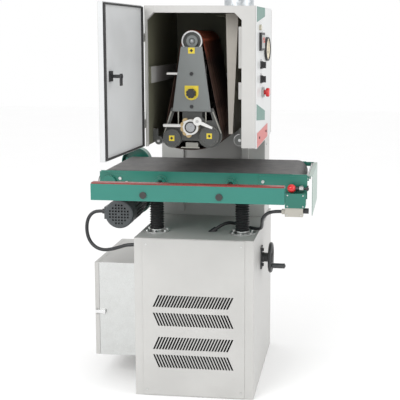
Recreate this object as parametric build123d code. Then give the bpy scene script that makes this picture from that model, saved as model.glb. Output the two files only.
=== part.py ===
from build123d import *
import os
import math

# Open-end wide-belt sander: base cabinet, rising feed table, sanding head in a housing with a door.
# Origin: middle of the base cabinet's foot print, on the floor.
# +X is the infeed end, +Y the column side, +Z up.

# ---- driving dimensions, mm ----
CABINET_W = 500
CABINET_D = 694
CABINET_H = 678
SHEET = 3
COLUMN_W = 480
COLUMN_D = 203
MACHINE_H = 1622
HOUSING_X0 = -166
HOUSING_X1 = 268
HOUSING_DEPTH = 611
HOUSING_Z0 = 1075
ABRASIVE_W = 406
ABRASIVE_T = 1.2
DRUM_R = 47
DRUM_X = 71
DRUM_Z = 1109
GUIDE_R = 38
GUIDE_X = -82
GUIDE_Z = 1098
TOP_R = 42
TOP_Z = 1486
SUPPORT_R = 31
SUPPORT_Z = 1146
FEED_BELT_W = 400
FEED_BELT_T = 3
TABLE_Z = 960
KNOB_Z = 1280
CAM_Z = 1171
HANDLE_Z = 1357
YOKE_BASE = 1207
KICK_PIVOT_X = 464
KICK_PIVOT_Z = 943
TABLE_X0 = -395
TABLE_X1 = 444
FEED_ROLLER_R = 45
PANEL_X0 = -381
PANEL_X1 = 466
PANEL_H = 100
RAIL_X0 = -331
RAIL_X1 = 400
RAIL_D = 37
RAIL_H = 67
RAIL_REACH = 303
BELLOWS_X = 184
BELLOWS_Y = -207
BELLOWS_R = 31
SCREW_R = 14
FEED_MOTOR_R = 62
FEED_MOTOR_X = -340
FEED_MOTOR_Z = 753
BOX_W = 220
BOX_D = 447
BOX_Z0 = 108
BOX_Z1 = 525
BOX_DOOR_T = 20
DOOR_T = 20
DOOR_OPEN = 93.6
DOOR_GAP = 8
CONTROL_TURN = 4.3
CONTROL_W = 310
PORT_R = 62.5
PORT_X = 150
PORT_Y = -74
PORT_H = 58
WHEEL_Z = 543
WHEEL_Y = -74
WHEEL_R = 67
CONDUIT_R = 7.5
CONDUIT_THIN_R = 7
RUN_CLEAR = 0.05   # radial clearance of a shaft in its bearing
GAP = 0.4          # gap between faces of different bodies
FLOOR_HOLE_R = 7

# ---- places worked out from them ----
CAB_X = CABINET_W / 2
CAB_FRONT = -CABINET_D / 2
CAB_BACK = CABINET_D / 2
COLUMN_FRONT = CAB_BACK - COLUMN_D
HOUSING_FRONT = COLUMN_FRONT - HOUSING_DEPTH
ROLLER_FRONT = -344
ROLLER_BACK = ROLLER_FRONT + ABRASIVE_W + 4
PLATE_T = 10
YOKE_FRONT = ROLLER_FRONT - 24
FRAME_FRONT = YOKE_FRONT + PLATE_T + GAP
FRAME_T = ROLLER_FRONT - 2 - FRAME_FRONT
YOKE_BACK = ROLLER_BACK + 2
FRAME_BACK = YOKE_BACK + PLATE_T + GAP
YOKE_TOP = TOP_Z - 22
FEED_FRONT = -350
FEED_BACK = FEED_FRONT + FEED_BELT_W
PANEL_FRONT = FEED_FRONT - 6
ROLLER_Z = TABLE_Z - FEED_BELT_T - FEED_ROLLER_R
DRIVE_X = TABLE_X0 + FEED_ROLLER_R + FEED_BELT_T
IDLER_X = TABLE_X1 - FEED_ROLLER_R - FEED_BELT_T
RAIL_BACK = PANEL_FRONT - RAIL_REACH + RAIL_D
RAIL_FRONT = RAIL_BACK - RAIL_D
ROD_R = 11
ROD_Z = 916
ROD_XS = (-130, 157)
BED_BOTTOM = 850
BOX_X0 = -CAB_X - BOX_W
BOX_Y0 = -187
BOX_HINGE_X = BOX_X0 + BOX_DOOR_T - 1
BOX_HINGE_Y = BOX_Y0 + BOX_D + 6
BOX_HINGE_ZS = (BOX_Z0 + 60, BOX_Z1 - 60)
BOX_HINGE_H = 24
HINGE_X = HOUSING_X0 - 6
HINGE_Y = HOUSING_FRONT - 13
DOOR_W = HOUSING_X1 - HOUSING_X0 - 8
DOOR_Z0 = HOUSING_Z0 + 1
DOOR_Z1 = MACHINE_H - 2
DOOR_INNER = HOUSING_FRONT - DOOR_GAP
DOOR_OUTER = DOOR_INNER - DOOR_T
STOP_X = 30
RIB_Z = ROLLER_Z - FEED_ROLLER_R + 6


# ---- building blocks ----
def block(x0, x1, y0, y1, z0, z1):
    return Pos((x0 + x1) / 2, (y0 + y1) / 2, (z0 + z1) / 2) * Box(x1 - x0, y1 - y0, z1 - z0)


def rod_x(y, z, r, x0, x1):
    return Pos((x0 + x1) / 2, y, z) * Rot(0, 90, 0) * Cylinder(r, x1 - x0)


def rod_y(x, z, r, y0, y1):
    return Pos(x, (y0 + y1) / 2, z) * Rot(90, 0, 0) * Cylinder(r, y1 - y0)


def rod_z(x, y, r, z0, z1):
    return Pos(x, y, (z0 + z1) / 2) * Cylinder(r, z1 - z0)


def plate_y(points, y0, y1):
    """A plate across Y from an outline of (x, z) points."""
    plane = Plane(origin=(0, y0, 0), x_dir=(1, 0, 0), z_dir=(0, -1, 0))
    return extrude(plane * Polygon(*points, align=None), amount=y1 - y0, dir=(0, 1, 0))


def plate_x(points, x0, x1):
    """A plate across X from an outline of (y, z) points."""
    plane = Plane(origin=(x0, 0, 0), x_dir=(0, 1, 0), z_dir=(1, 0, 0))
    return extrude(plane * Polygon(*points, align=None), amount=x1 - x0, dir=(1, 0, 0))


def plate_z(points, z0, z1):
    return extrude(Pos(0, 0, z0) * Polygon(*points, align=None), amount=z1 - z0, dir=(0, 0, 1))


def bolt_y(x, z, r, y_face, head=4):
    """A hexagon head standing on a face whose outward side is -Y."""
    plane = Plane(origin=(x, y_face, z), x_dir=(1, 0, 0), z_dir=(0, -1, 0))
    return extrude(plane * RegularPolygon(r, 6), amount=head)


def bolt_z(x, y, r, z_face, head=5):
    return extrude(Pos(x, y, z_face) * RegularPolygon(r, 6), amount=head)


def cut_apart(body, boxes):
    """The welded body as the separate sheets it is folded from: its share in each box."""
    sheets = []
    for corners in boxes:
        sheets.append(body & block(*corners))
    return sheets


def save(name, *pieces):
    solids = []
    for piece in pieces:
        solids.extend(piece.solids())
    shape = solids[0] if len(solids) == 1 else Compound(children=solids)
    export_step(shape, "parts/" + name + ".step")


# ---- base: cabinet, louvred panel, electrical box ----
LOUVRE_ROWS = ((180, 124, -1), (257, 203, 1), (361, 305, -1), (437, 386, 1))
LOUVRE_X0 = -174
LOUVRE_X1 = 167
LOUVRE_COUNT = 26
LOUVRE_SLANT = 24
LOUVRE_WIDE = 7.5
PANEL_LEFT = -215
PANEL_RIGHT = 213
MOTOR_Z = 150
MOTOR_R = 100
MOTOR_PULLEY_R = 60
DRUM_PULLEY_R = 50
PULLEY_Y0 = 232
PULLEY_Y1 = 288
SLOT_X0 = -34
SLOT_X1 = 120
MOTOR_GLAND = (-CAB_X, -250, 624)
TABLE_GLAND = (52, -189, CABINET_H)


def base_cabinet():
    body = block(-CAB_X, CAB_X, CAB_FRONT, CAB_BACK, 0, CABINET_H)
    body -= block(-CAB_X + SHEET, CAB_X - SHEET, CAB_FRONT + SHEET, CAB_BACK - SHEET, -1, CABINET_H - SHEET)
    rim = 70
    foot = block(-CAB_X, CAB_X, CAB_FRONT, CAB_BACK, 0, SHEET + 2)
    foot -= block(-CAB_X + rim, CAB_X - rim, CAB_FRONT + rim, CAB_BACK - rim, -1, SHEET + 3)
    body += foot
    body -= block(PANEL_LEFT + 22, PANEL_RIGHT - 22, CAB_FRONT - 1, CAB_FRONT + SHEET + 1, 40, CABINET_H - 40)
    body -= block(SLOT_X0, SLOT_X1, PULLEY_Y0 - 12, PULLEY_Y1 + 12, CABINET_H - SHEET - 1, CABINET_H + 1)
    for side in (-1, 1):
        body -= rod_z(side * BELLOWS_X, BELLOWS_Y, SCREW_R + 6, CABINET_H - 10, CABINET_H + 1)
        for end in (-1, 1):
            body -= rod_z(side * (CAB_X - 35), end * (CAB_BACK - 35), FLOOR_HOLE_R, -1, SHEET + 3)
    body -= rod_x(WHEEL_Y, WHEEL_Z, 12, CAB_X - 10, CAB_X + 1)
    window_x0 = PANEL_LEFT + 22
    window_x1 = PANEL_RIGHT - 22
    in_x = CAB_X - SHEET
    in_y = CAB_BACK - SHEET
    top = CABINET_H - SHEET
    foot_top = SHEET + 2
    return cut_apart(body, [
        (-CAB_X, window_x0, CAB_FRONT, -in_y, foot_top, top),
        (window_x1, CAB_X, CAB_FRONT, -in_y, foot_top, top),
        (window_x0, window_x1, CAB_FRONT, -in_y, CABINET_H - 40, top),
        (window_x0, window_x1, CAB_FRONT, -in_y, foot_top, 40),
        (-CAB_X, -in_x, -in_y, in_y, foot_top, top),
        (in_x, CAB_X, -in_y, in_y, foot_top, top),
        (-CAB_X, CAB_X, in_y, CAB_BACK, foot_top, top),
        (-CAB_X, CAB_X, CAB_FRONT, CAB_BACK, top, CABINET_H),
        (-CAB_X, CAB_X, CAB_FRONT, CAB_FRONT + rim, 0, foot_top),
        (-CAB_X, CAB_X, CAB_BACK - rim, CAB_BACK, 0, foot_top),
        (-CAB_X, -CAB_X + rim, CAB_FRONT + rim, CAB_BACK - rim, 0, foot_top),
        (CAB_X - rim, CAB_X, CAB_FRONT + rim, CAB_BACK - rim, 0, foot_top),
    ])


def louvre_panel():
    panel = block(PANEL_LEFT, PANEL_RIGHT, CAB_FRONT - 2, CAB_FRONT, 3, CABINET_H - 3)
    pitch = (LOUVRE_X1 - LOUVRE_X0 - LOUVRE_SLANT - LOUVRE_WIDE) / (LOUVRE_COUNT - 1)
    slots = []
    for top, bottom, lean in LOUVRE_ROWS:
        for i in range(LOUVRE_COUNT):
            x = LOUVRE_X0 + i * pitch
            low, high = (x, x + LOUVRE_SLANT) if lean > 0 else (x + LOUVRE_SLANT, x)
            points = [(low, bottom), (low + LOUVRE_WIDE, bottom), (high + LOUVRE_WIDE, top), (high, top)]
            slots.append(plate_y(points, CAB_FRONT - 4, CAB_FRONT + 2))
    return panel - slots


def base_fasteners():
    pieces = []
    for x in (PANEL_LEFT + 15, PANEL_RIGHT - 15):
        for z in (26, CABINET_H - 26):
            pieces.append(rod_y(x, z, 4, CAB_FRONT - 4, CAB_FRONT - 2))
    for side in (-1, 1):
        for turn in range(6):
            a = math.radians(30 + 60 * turn)
            x = side * BELLOWS_X + 45 * math.cos(a)
            y = BELLOWS_Y + 45 * math.sin(a)
            pieces.append(bolt_z(x, y, 6, CABINET_H + 5))
        ring = rod_z(side * BELLOWS_X, BELLOWS_Y, 55, CABINET_H, CABINET_H + 5)
        pieces.append(ring - rod_z(side * BELLOWS_X, BELLOWS_Y, SCREW_R + 6, CABINET_H - 1, CABINET_H + 6))
    for z in (790, 1010, 1250, 1500):
        pieces.append(rod_x(COLUMN_FRONT + 60, z, 5, COLUMN_W / 2, COLUMN_W / 2 + 2.5))
    return pieces


def electrical_box():
    x0 = BOX_X0 + BOX_DOOR_T
    y1 = BOX_Y0 + BOX_D
    body = block(x0, -CAB_X, BOX_Y0, y1, BOX_Z0, BOX_Z1)
    body -= block(x0 - 1, -CAB_X - 2, BOX_Y0 + 2, y1 - 2, BOX_Z0 + 2, BOX_Z1 - 2)
    walls = cut_apart(body, [
        (x0, -CAB_X, BOX_Y0, BOX_Y0 + 2, BOX_Z0, BOX_Z1),
        (x0, -CAB_X, y1 - 2, y1, BOX_Z0, BOX_Z1),
        (x0, -CAB_X, BOX_Y0 + 2, y1 - 2, BOX_Z0, BOX_Z0 + 2),
        (x0, -CAB_X, BOX_Y0 + 2, y1 - 2, BOX_Z1 - 2, BOX_Z1),
        (-CAB_X - 2, -CAB_X, BOX_Y0 + 2, y1 - 2, BOX_Z0 + 2, BOX_Z1 - 2),
    ])
    back_plate = block(-CAB_X - 5, -CAB_X - 2, BOX_Y0 + 30, y1 - 30, BOX_Z0 + 30, BOX_Z1 - 30)
    pieces = walls + [back_plate]
    for row in range(2):
        z = BOX_Z0 + 110 + row * 170
        pieces.append(block(-CAB_X - 12, -CAB_X - 5, BOX_Y0 + 50, y1 - 50, z - 17, z + 17))
        for i in range(4):
            y = BOX_Y0 + 70 + i * 85
            pieces.append(block(-CAB_X - 80, -CAB_X - 12, y, y + 55, z - 40, z + 40))
    keeper = block(x0 + 2, x0 + 26, BOX_Y0 - 3, BOX_Y0, 290, 320)
    hinges = []
    for z in BOX_HINGE_ZS:
        low = z - BOX_HINGE_H
        pin = rod_z(BOX_HINGE_X, BOX_HINGE_Y, 2.5, low, z + BOX_HINGE_H)
        knuckle = rod_z(BOX_HINGE_X, BOX_HINGE_Y, 5, low, z - GAP)
        leaf = block(x0, x0 + 4, y1, BOX_HINGE_Y, low, z - GAP)
        leaf += block(x0, x0 + 30, y1, y1 + 3, low, z - GAP)
        hinges.append(pin + knuckle + leaf)
    return pieces + [keeper] + hinges


def box_door():
    y1 = BOX_Y0 + BOX_D
    x1 = BOX_X0 + BOX_DOOR_T - 1
    door = block(BOX_X0, x1, BOX_Y0, y1, BOX_Z0, BOX_Z1)
    door -= block(BOX_X0 + 2, x1 + 1, BOX_Y0 + 2, y1 - 2, BOX_Z0 + 2, BOX_Z1 - 2)
    for z in BOX_HINGE_ZS:
        knuckle = rod_z(BOX_HINGE_X, BOX_HINGE_Y, 5, z, z + BOX_HINGE_H)
        knuckle += block(BOX_HINGE_X - 5, BOX_HINGE_X, y1, BOX_HINGE_Y, z, z + BOX_HINGE_H)
        door += knuckle - rod_z(BOX_HINGE_X, BOX_HINGE_Y, 2.5 + RUN_CLEAR, z - 1, z + BOX_HINGE_H + 1)
    lug = block(BOX_X0 + 3, BOX_X0 + 9, BOX_Y0 - 8, BOX_Y0, 294, 316)
    lug -= rod_z(BOX_X0 + 6, BOX_Y0 - 5, 1.5 + RUN_CLEAR, 290, 320)
    lug -= block(BOX_X0, BOX_X0 + 12, BOX_Y0 - 9, BOX_Y0 - 0.5, 298 - GAP, 312 + GAP)
    return door + lug


def box_latch():
    pin = rod_z(BOX_X0 + 6, BOX_Y0 - 5, 1.5, 294, 316)
    arm = block(BOX_X0 + 3, BOX_X0 + 44, BOX_Y0 - 8, BOX_Y0 - 3 - GAP, 298, 312)
    tip = block(BOX_X0 + 38, BOX_X0 + 48, BOX_Y0 - 14, BOX_Y0 - 8, 298, 312)
    return (pin + arm) + tip


# ---- column and drive ----
def column():
    half = COLUMN_W / 2
    shell = block(-half, half, COLUMN_FRONT, CAB_BACK, CABINET_H, MACHINE_H - 2)
    shell -= block(-half + 4, half - 4, COLUMN_FRONT + 4, CAB_BACK - SHEET, CABINET_H - 1, MACHINE_H - 6)
    shell -= rod_y(DRUM_X, DRUM_Z, 30, COLUMN_FRONT - 1, COLUMN_FRONT + 5)
    top = MACHINE_H - 6
    sheets = cut_apart(shell, [
        (-half, half, COLUMN_FRONT, COLUMN_FRONT + 4, CABINET_H, top),
        (-half, half, CAB_BACK - SHEET, CAB_BACK, CABINET_H, top),
        (-half, 4 - half, COLUMN_FRONT + 4, CAB_BACK - SHEET, CABINET_H, top),
        (half - 4, half, COLUMN_FRONT + 4, CAB_BACK - SHEET, CABINET_H, top),
        (-half, half, COLUMN_FRONT, CAB_BACK, top, MACHINE_H - 2),
    ])
    rails = []
    for side in (-1, 1):
        x = side * 150
        rails.append(block(x - 15, x + 15, COLUMN_FRONT - 18, COLUMN_FRONT, CABINET_H + 20, HOUSING_Z0 - 8))
    return sheets + rails


def main_motor():
    body = rod_y(0, MOTOR_Z, MOTOR_R - 12, -120, 170)
    fins = []
    for i in range(24):
        fin = block(-2.5, 2.5, -100, 150, 0, 14)
        fins.append(Pos(0, 0, MOTOR_Z) * Rot(0, i * 15, 0) * Pos(0, 0, MOTOR_R - 14) * fin)
    feet = block(-95, 95, -90, 140, SHEET + 10, MOTOR_Z - 60)
    feet -= block(-60, 60, -91, 141, SHEET + 22, MOTOR_Z - 59)
    cowl = rod_y(0, MOTOR_Z, MOTOR_R, -170, -120)
    motor = (body + fins + feet + cowl) - rod_y(0, MOTOR_Z, 14 + RUN_CLEAR, 60, 171)
    bed = block(-CAB_X + SHEET, CAB_X - SHEET, -150, 190, SHEET + 2, SHEET + 10)
    return [motor, bed]


def motor_pulley():
    shaft = rod_y(0, MOTOR_Z, 14, 80, PULLEY_Y1 + 4)
    wheel = rod_y(0, MOTOR_Z, MOTOR_PULLEY_R, PULLEY_Y0, PULLEY_Y1)
    for y in groove_ys():
        wheel -= belt_ring(0, MOTOR_Z, MOTOR_PULLEY_R + 1, MOTOR_PULLEY_R - 8, y - 6, y + 6)
    return shaft + wheel


def groove_ys():
    middle = (PULLEY_Y0 + PULLEY_Y1) / 2
    return (middle - 16, middle, middle + 16)


def belt_ring(x, z, outer, inner, y0, y1):
    return rod_y(x, z, outer, y0, y1) - rod_y(x, z, inner, y0 - 1, y1 + 1)


def loop_outline(circles, grow):
    """The face inside a tight band round the circles (x, z, r), each grown by grow."""
    edges = []
    for x, z, r in circles:
        edges.append(Pos(x, z) * CenterArc((0, 0), r + grow, 0, 360))
    return make_hull(edges)


def band(circles, gap, thick, y0, y1):
    plane = Plane(origin=(0, y0, 0), x_dir=(1, 0, 0), z_dir=(0, -1, 0))
    outer = plane * loop_outline(circles, gap + thick)
    inner = plane * loop_outline(circles, gap)
    return extrude(outer, amount=y1 - y0, dir=(0, 1, 0)) - extrude(inner, amount=y1 - y0, dir=(0, 1, 0))


def v_belts():
    circles = ((0, MOTOR_Z, MOTOR_PULLEY_R - 8), (DRUM_X, DRUM_Z, DRUM_PULLEY_R - 8))
    return [band(circles, GAP, 7, y - 5, y + 5) for y in groove_ys()]


# ---- lift ----
NUT_Z0 = 640
NUT_Z1 = 668


def lift_nut(side):
    x = side * BELLOWS_X
    nut = rod_z(x, BELLOWS_Y, 24, NUT_Z0, NUT_Z1) + rod_z(x, BELLOWS_Y, 42, NUT_Z0 + 8, NUT_Z0 + 16)
    for i in range(16):
        a = i * 22.5
        tooth = Pos(x, BELLOWS_Y, NUT_Z0 + 12) * Rot(0, 0, a) * Pos(43, 0, 0) * Box(8, 6, 7)
        nut += tooth
    return nut - rod_z(x, BELLOWS_Y, SCREW_R + RUN_CLEAR, NUT_Z0 - 1, NUT_Z1 + 1)


def lift_chain():
    plane = Pos(0, 0, NUT_Z0 + 9)
    ends = []
    for side in (-1, 1):
        ends.append(Pos(side * BELLOWS_X, BELLOWS_Y) * CenterArc((0, 0), 55, 0, 360))
    inner_ends = []
    for side in (-1, 1):
        inner_ends.append(Pos(side * BELLOWS_X, BELLOWS_Y) * CenterArc((0, 0), 49, 0, 360))
    loop = extrude(plane * make_hull(ends), amount=6) - extrude(plane * make_hull(inner_ends), amount=6)
    pieces = [loop]
    for side in (-1, 1):
        x = side * BELLOWS_X
        cage = block(x - 32, x + 32, BELLOWS_Y - 32, BELLOWS_Y + 32, NUT_Z1 + 1, CABINET_H - SHEET)
        pieces.append(cage - rod_z(x, BELLOWS_Y, SCREW_R + 4, NUT_Z1, CABINET_H))
    return pieces


def lift_screws():
    pieces = []
    for side in (-1, 1):
        x = side * BELLOWS_X
        pieces.append(rod_z(x, BELLOWS_Y, SCREW_R, 470, BED_BOTTOM))
    return pieces


def lift_bellows():
    pieces = []
    top = BED_BOTTOM - 12
    bottom = CABINET_H + 5 + GAP
    folds = 14
    step = (top - bottom) / folds
    for side in (-1, 1):
        x = side * BELLOWS_X
        profile = [(SCREW_R + 4, bottom)]
        for i in range(folds):
            profile.append((BELLOWS_R - 4, bottom + i * step))
            profile.append((BELLOWS_R, bottom + (i + 0.5) * step))
        profile.append((BELLOWS_R - 4, top))
        profile.append((SCREW_R + 4, top))
        face = Plane.XZ * Polygon(*profile, align=None)
        pieces.append(Pos(x, BELLOWS_Y, 0) * revolve(face, axis=Axis.Z))
    return pieces


def handwheel():
    hub_x = CAB_X + 6
    plane_x = CAB_X + 43
    shaft = rod_x(WHEEL_Y, WHEEL_Z, 12 - RUN_CLEAR, CAB_X - 60, CAB_X + 20)
    hub = rod_x(WHEEL_Y, WHEEL_Z, 20, hub_x + 8, plane_x + 10)
    ring = Pos(plane_x, WHEEL_Y, WHEEL_Z) * Rot(0, 90, 0) * Torus(WHEEL_R - 8, 8)
    wheel = shaft + hub + ring
    for i in range(3):
        arm = Pos(plane_x, WHEEL_Y, WHEEL_Z) * Rot(i * 120 + 90, 0, 0) * Pos(0, 0, (WHEEL_R - 8) / 2)
        wheel += arm * Box(9, 16, WHEEL_R - 8)
    pin = rod_x(WHEEL_Y - 46, WHEEL_Z - 25, 5, plane_x, plane_x + 69)
    boss = rod_x(WHEEL_Y - 46, WHEEL_Z - 25, 11, plane_x - 8, plane_x + 8)
    return wheel + boss + pin


def handwheel_grip():
    x0 = CAB_X + 43 + 9
    grip = rod_x(WHEEL_Y - 46, WHEEL_Z - 25, 11, x0, x0 + 58)
    grip = fillet(grip.edges().filter_by(GeomType.CIRCLE), 4)
    return grip - rod_x(WHEEL_Y - 46, WHEEL_Z - 25, 5 + RUN_CLEAR, x0 - 1, x0 + 59)


def handwheel_bracket():
    plate = block(CAB_X, CAB_X + 6, WHEEL_Y - 26, WHEEL_Y + 26, WHEEL_Z - 48, WHEEL_Z + 48)
    boss = rod_x(WHEEL_Y, WHEEL_Z, 22, CAB_X + 6, CAB_X + 13)
    screws = []
    for side in (-1, 1):
        screws.append(rod_x(WHEEL_Y, WHEEL_Z + side * 34, 7, CAB_X + 6, CAB_X + 12))
    return (plate + boss + screws) - rod_x(WHEEL_Y, WHEEL_Z, 12, CAB_X - 1, CAB_X + 14)


# ---- housing ----
FRAME_TOP = MACHINE_H - 27
JAMB_X = 214
POST_X = HOUSING_X0 + 9
CHAMFER = 28


def opening_points(grow=0):
    return [
        (POST_X - grow, HOUSING_Z0 - 5),
        (JAMB_X + grow, HOUSING_Z0 - 5),
        (JAMB_X + grow, FRAME_TOP - CHAMFER + grow / 2),
        (JAMB_X - CHAMFER + grow / 2, FRAME_TOP + grow),
        (POST_X + CHAMFER - grow / 2, FRAME_TOP + grow),
        (POST_X - grow, FRAME_TOP - CHAMFER + grow / 2),
    ]


def housing_shell():
    body = block(HOUSING_X0, HOUSING_X1, HOUSING_FRONT, COLUMN_FRONT, HOUSING_Z0, MACHINE_H)
    lower = HOUSING_Z0 - 1
    body = fillet(body.edges().filter_by(Axis.Z).group_by(Axis.Y)[0], 8)
    core = block(
        HOUSING_X0 + 2, HOUSING_X1 - 2, HOUSING_FRONT + 2, COLUMN_FRONT - 2, lower, MACHINE_H - 2
    )
    body -= fillet(core.edges().filter_by(Axis.Z).group_by(Axis.Y)[0], 6)
    body -= plate_y(opening_points(), HOUSING_FRONT - 1, HOUSING_FRONT + 3)
    lip = plate_y(opening_points(1.5), HOUSING_FRONT + 1, HOUSING_FRONT + 24)
    lip -= plate_y(opening_points(), HOUSING_FRONT, HOUSING_FRONT + 25)
    lip -= block(HOUSING_X0, HOUSING_X1, HOUSING_FRONT, COLUMN_FRONT, HOUSING_Z0 - 10, HOUSING_Z0)
    body += lip
    body -= rod_z(PORT_X, PORT_Y, PORT_R - 2, MACHINE_H - 4, MACHINE_H + 1)
    back_x = (HOUSING_X0 + 20, HOUSING_X1 - 60)
    body -= block(back_x[0], back_x[1], COLUMN_FRONT - 3, COLUMN_FRONT + 1, lower, 1340)
    front = HOUSING_FRONT + 25
    back = COLUMN_FRONT - 2
    top = MACHINE_H - 2
    left_post = POST_X + CHAMFER + 2
    right_post = JAMB_X - CHAMFER - 2
    sheets = cut_apart(body, [
        (HOUSING_X0, left_post, HOUSING_FRONT, front, HOUSING_Z0, top),
        (right_post, HOUSING_X1, HOUSING_FRONT, front, HOUSING_Z0, top),
        (left_post, right_post, HOUSING_FRONT, front, HOUSING_Z0, top),
        (HOUSING_X0, HOUSING_X0 + 2, front, back, HOUSING_Z0, top),
        (HOUSING_X1 - 2, HOUSING_X1, front, back, HOUSING_Z0, top),
        (HOUSING_X0, HOUSING_X1, back, COLUMN_FRONT, HOUSING_Z0, top),
        (HOUSING_X0, HOUSING_X1, HOUSING_FRONT, COLUMN_FRONT, top, MACHINE_H),
    ])
    rib = block(HOUSING_X0 + 2, HOUSING_X0 + 12, HOUSING_FRONT + 60, COLUMN_FRONT - 60, 1320, 1385)
    flange = block(199, JAMB_X + 4, front - 1, front + 2, 1263, 1543)
    flange -= block(198, LATCH_X + 12, front - 2, front + 3, LATCH_Z - 38, LATCH_Z + 16)
    return sheets + [rib, flange]


def dust_hood():
    """Inner duct that widens upwards from the drum to the port, and the rounded hood over the belt."""
    points = [(144, 1114), (160, 1114), (183, 1596), (132, 1596)]
    inner = [(146, 1113), (158, 1113), (181, 1597), (134, 1597)]
    duct = plate_y(points, -330, 60) - plate_y(inner, -328, 58)
    box_w = PORT_R + 2
    plenum = block(PORT_X - box_w, PORT_X + box_w - 14, PORT_Y - box_w, PORT_Y + box_w, 1596, MACHINE_H - 2)
    plenum -= block(
        PORT_X - box_w + 2, PORT_X + box_w - 16, PORT_Y - box_w + 2, PORT_Y + box_w - 2, 1594, MACHINE_H
    )
    hood = block(60, 129, -250, 90, 1360, 1590)
    hood = fillet(hood.edges().filter_by(Axis.Y).group_by(Axis.Z)[-1], 30)
    core = block(57, 127, -251, 88, 1359, 1588)
    core = fillet(core.edges().filter_by(Axis.Y).group_by(Axis.Z)[-1].sort_by(Axis.X)[-1:], 28)
    hood = hood - core
    return [duct, plenum, hood]


def dust_port():
    neck = rod_z(PORT_X, PORT_Y, PORT_R, MACHINE_H, MACHINE_H + PORT_H)
    neck -= rod_z(PORT_X, PORT_Y, PORT_R - 1.5, MACHINE_H - 1, MACHINE_H + PORT_H + 1)
    ring = rod_z(PORT_X, PORT_Y, PORT_R + 10, MACHINE_H, MACHINE_H + 2)
    ring -= rod_z(PORT_X, PORT_Y, PORT_R - 1.5, MACHINE_H - 1, MACHINE_H + 3)
    return neck + ring


# ---- sanding head ----
def head_frame():
    """Lower frame plates, support tube and beam, bearing caps, tension cylinder and hold-down brackets."""
    outline = [
        (-86, 1219), (86, 1219), (DRUM_X + 49, DRUM_Z + 10), (DRUM_X, DRUM_Z), (27, 1088),
        (-44, 1088), (GUIDE_X, GUIDE_Z), (GUIDE_X - 38, GUIDE_Z + 8),
    ]
    windows = (
        [(-74, 1204), (-40, 1204), (-40, 1160), (-56, 1150), (-92, 1150)],
        [(74, 1204), (40, 1204), (40, 1184), (56, 1170), (83, 1170)],
    )
    pieces = []
    for y0 in (FRAME_FRONT, FRAME_BACK):
        plate = plate_y(outline, y0, y0 + FRAME_T)
        plate += rod_y(GUIDE_X, GUIDE_Z, GUIDE_R + 2, y0, y0 + FRAME_T)
        plate += rod_y(DRUM_X, DRUM_Z, DRUM_R + 3, y0, y0 + FRAME_T)
        plate -= rod_y(DRUM_X, DRUM_Z, 15 + RUN_CLEAR, y0 - 1, y0 + FRAME_T + 1)
        plate -= rod_y(GUIDE_X, GUIDE_Z, 12 + RUN_CLEAR, y0 - 1, y0 + FRAME_T + 1)
        plate -= [plate_y(points, y0 - 1, y0 + FRAME_T + 1) for points in windows]
        pieces.append(plate)
    inner_end = FRAME_FRONT + FRAME_T
    tube = rod_y(0, SUPPORT_Z, SUPPORT_R - 1, inner_end, FRAME_BACK)
    rear_tube = rod_y(0, SUPPORT_Z, SUPPORT_R - 1, FRAME_BACK + FRAME_T, COLUMN_FRONT)
    beam = block(-40, 40, inner_end, YOKE_BACK - 2, 1178, 1216)
    beam += block(-40, 40, YOKE_BACK - 2, FRAME_BACK, 1178, 1205)
    rear_beam = block(-80, 60, FRAME_BACK + FRAME_T, COLUMN_FRONT, 1165, 1216)
    pieces.append(tube + beam)
    pieces.append(rear_tube + rear_beam)
    bar_x0, bar_x1 = GUIDE_X + GUIDE_R + 2, DRUM_X - DRUM_R - 4
    platen_bar = block(bar_x0, bar_x1, inner_end, FRAME_BACK, 1092, 1110)
    pieces.append(platen_bar)
    shaft_end = rod_y(0, SUPPORT_Z, 21, YOKE_FRONT - 32, FRAME_FRONT)
    collar = rod_y(0, SUPPORT_Z, SUPPORT_R, YOKE_FRONT - 28, YOKE_FRONT - 16)
    pieces.append(shaft_end + collar)
    cam_pin = rod_y(STOP_X, CAM_Z, 6, YOKE_FRONT - 44, FRAME_FRONT)
    pieces.append(cam_pin)
    return pieces


def roller_bearings():
    pieces = []
    caps = ((DRUM_X, DRUM_Z, DRUM_R - 4, 15), (GUIDE_X, GUIDE_Z, GUIDE_R, 12))
    for x, z, r, bore in caps:
        cap = rod_y(x, z, r, FRAME_FRONT - 12, FRAME_FRONT)
        cap = fillet(cap.edges().filter_by(GeomType.CIRCLE).group_by(Axis.Y)[0], 4)
        pieces.append(cap)
        rear = rod_y(x, z, r - 6, FRAME_BACK + FRAME_T, FRAME_BACK + FRAME_T + 10)
        pieces.append(rear - rod_y(x, z, bore + RUN_CLEAR, FRAME_BACK, FRAME_BACK + FRAME_T + 11))
    return pieces


CYLINDER_R = 24
CYLINDER_TOP = 1350


def tension_cylinder():
    pieces = []
    for y in (-250, -30):
        barrel = rod_z(0, y, CYLINDER_R, 1216, CYLINDER_TOP)
        barrel -= rod_z(0, y, CYLINDER_R - 4, 1226, CYLINDER_TOP - 8)
        barrel -= rod_z(0, y, 8 + RUN_CLEAR, 1230, CYLINDER_TOP + 1)
        pieces.append(barrel)
    return pieces


TIE_Z = 1390


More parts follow.
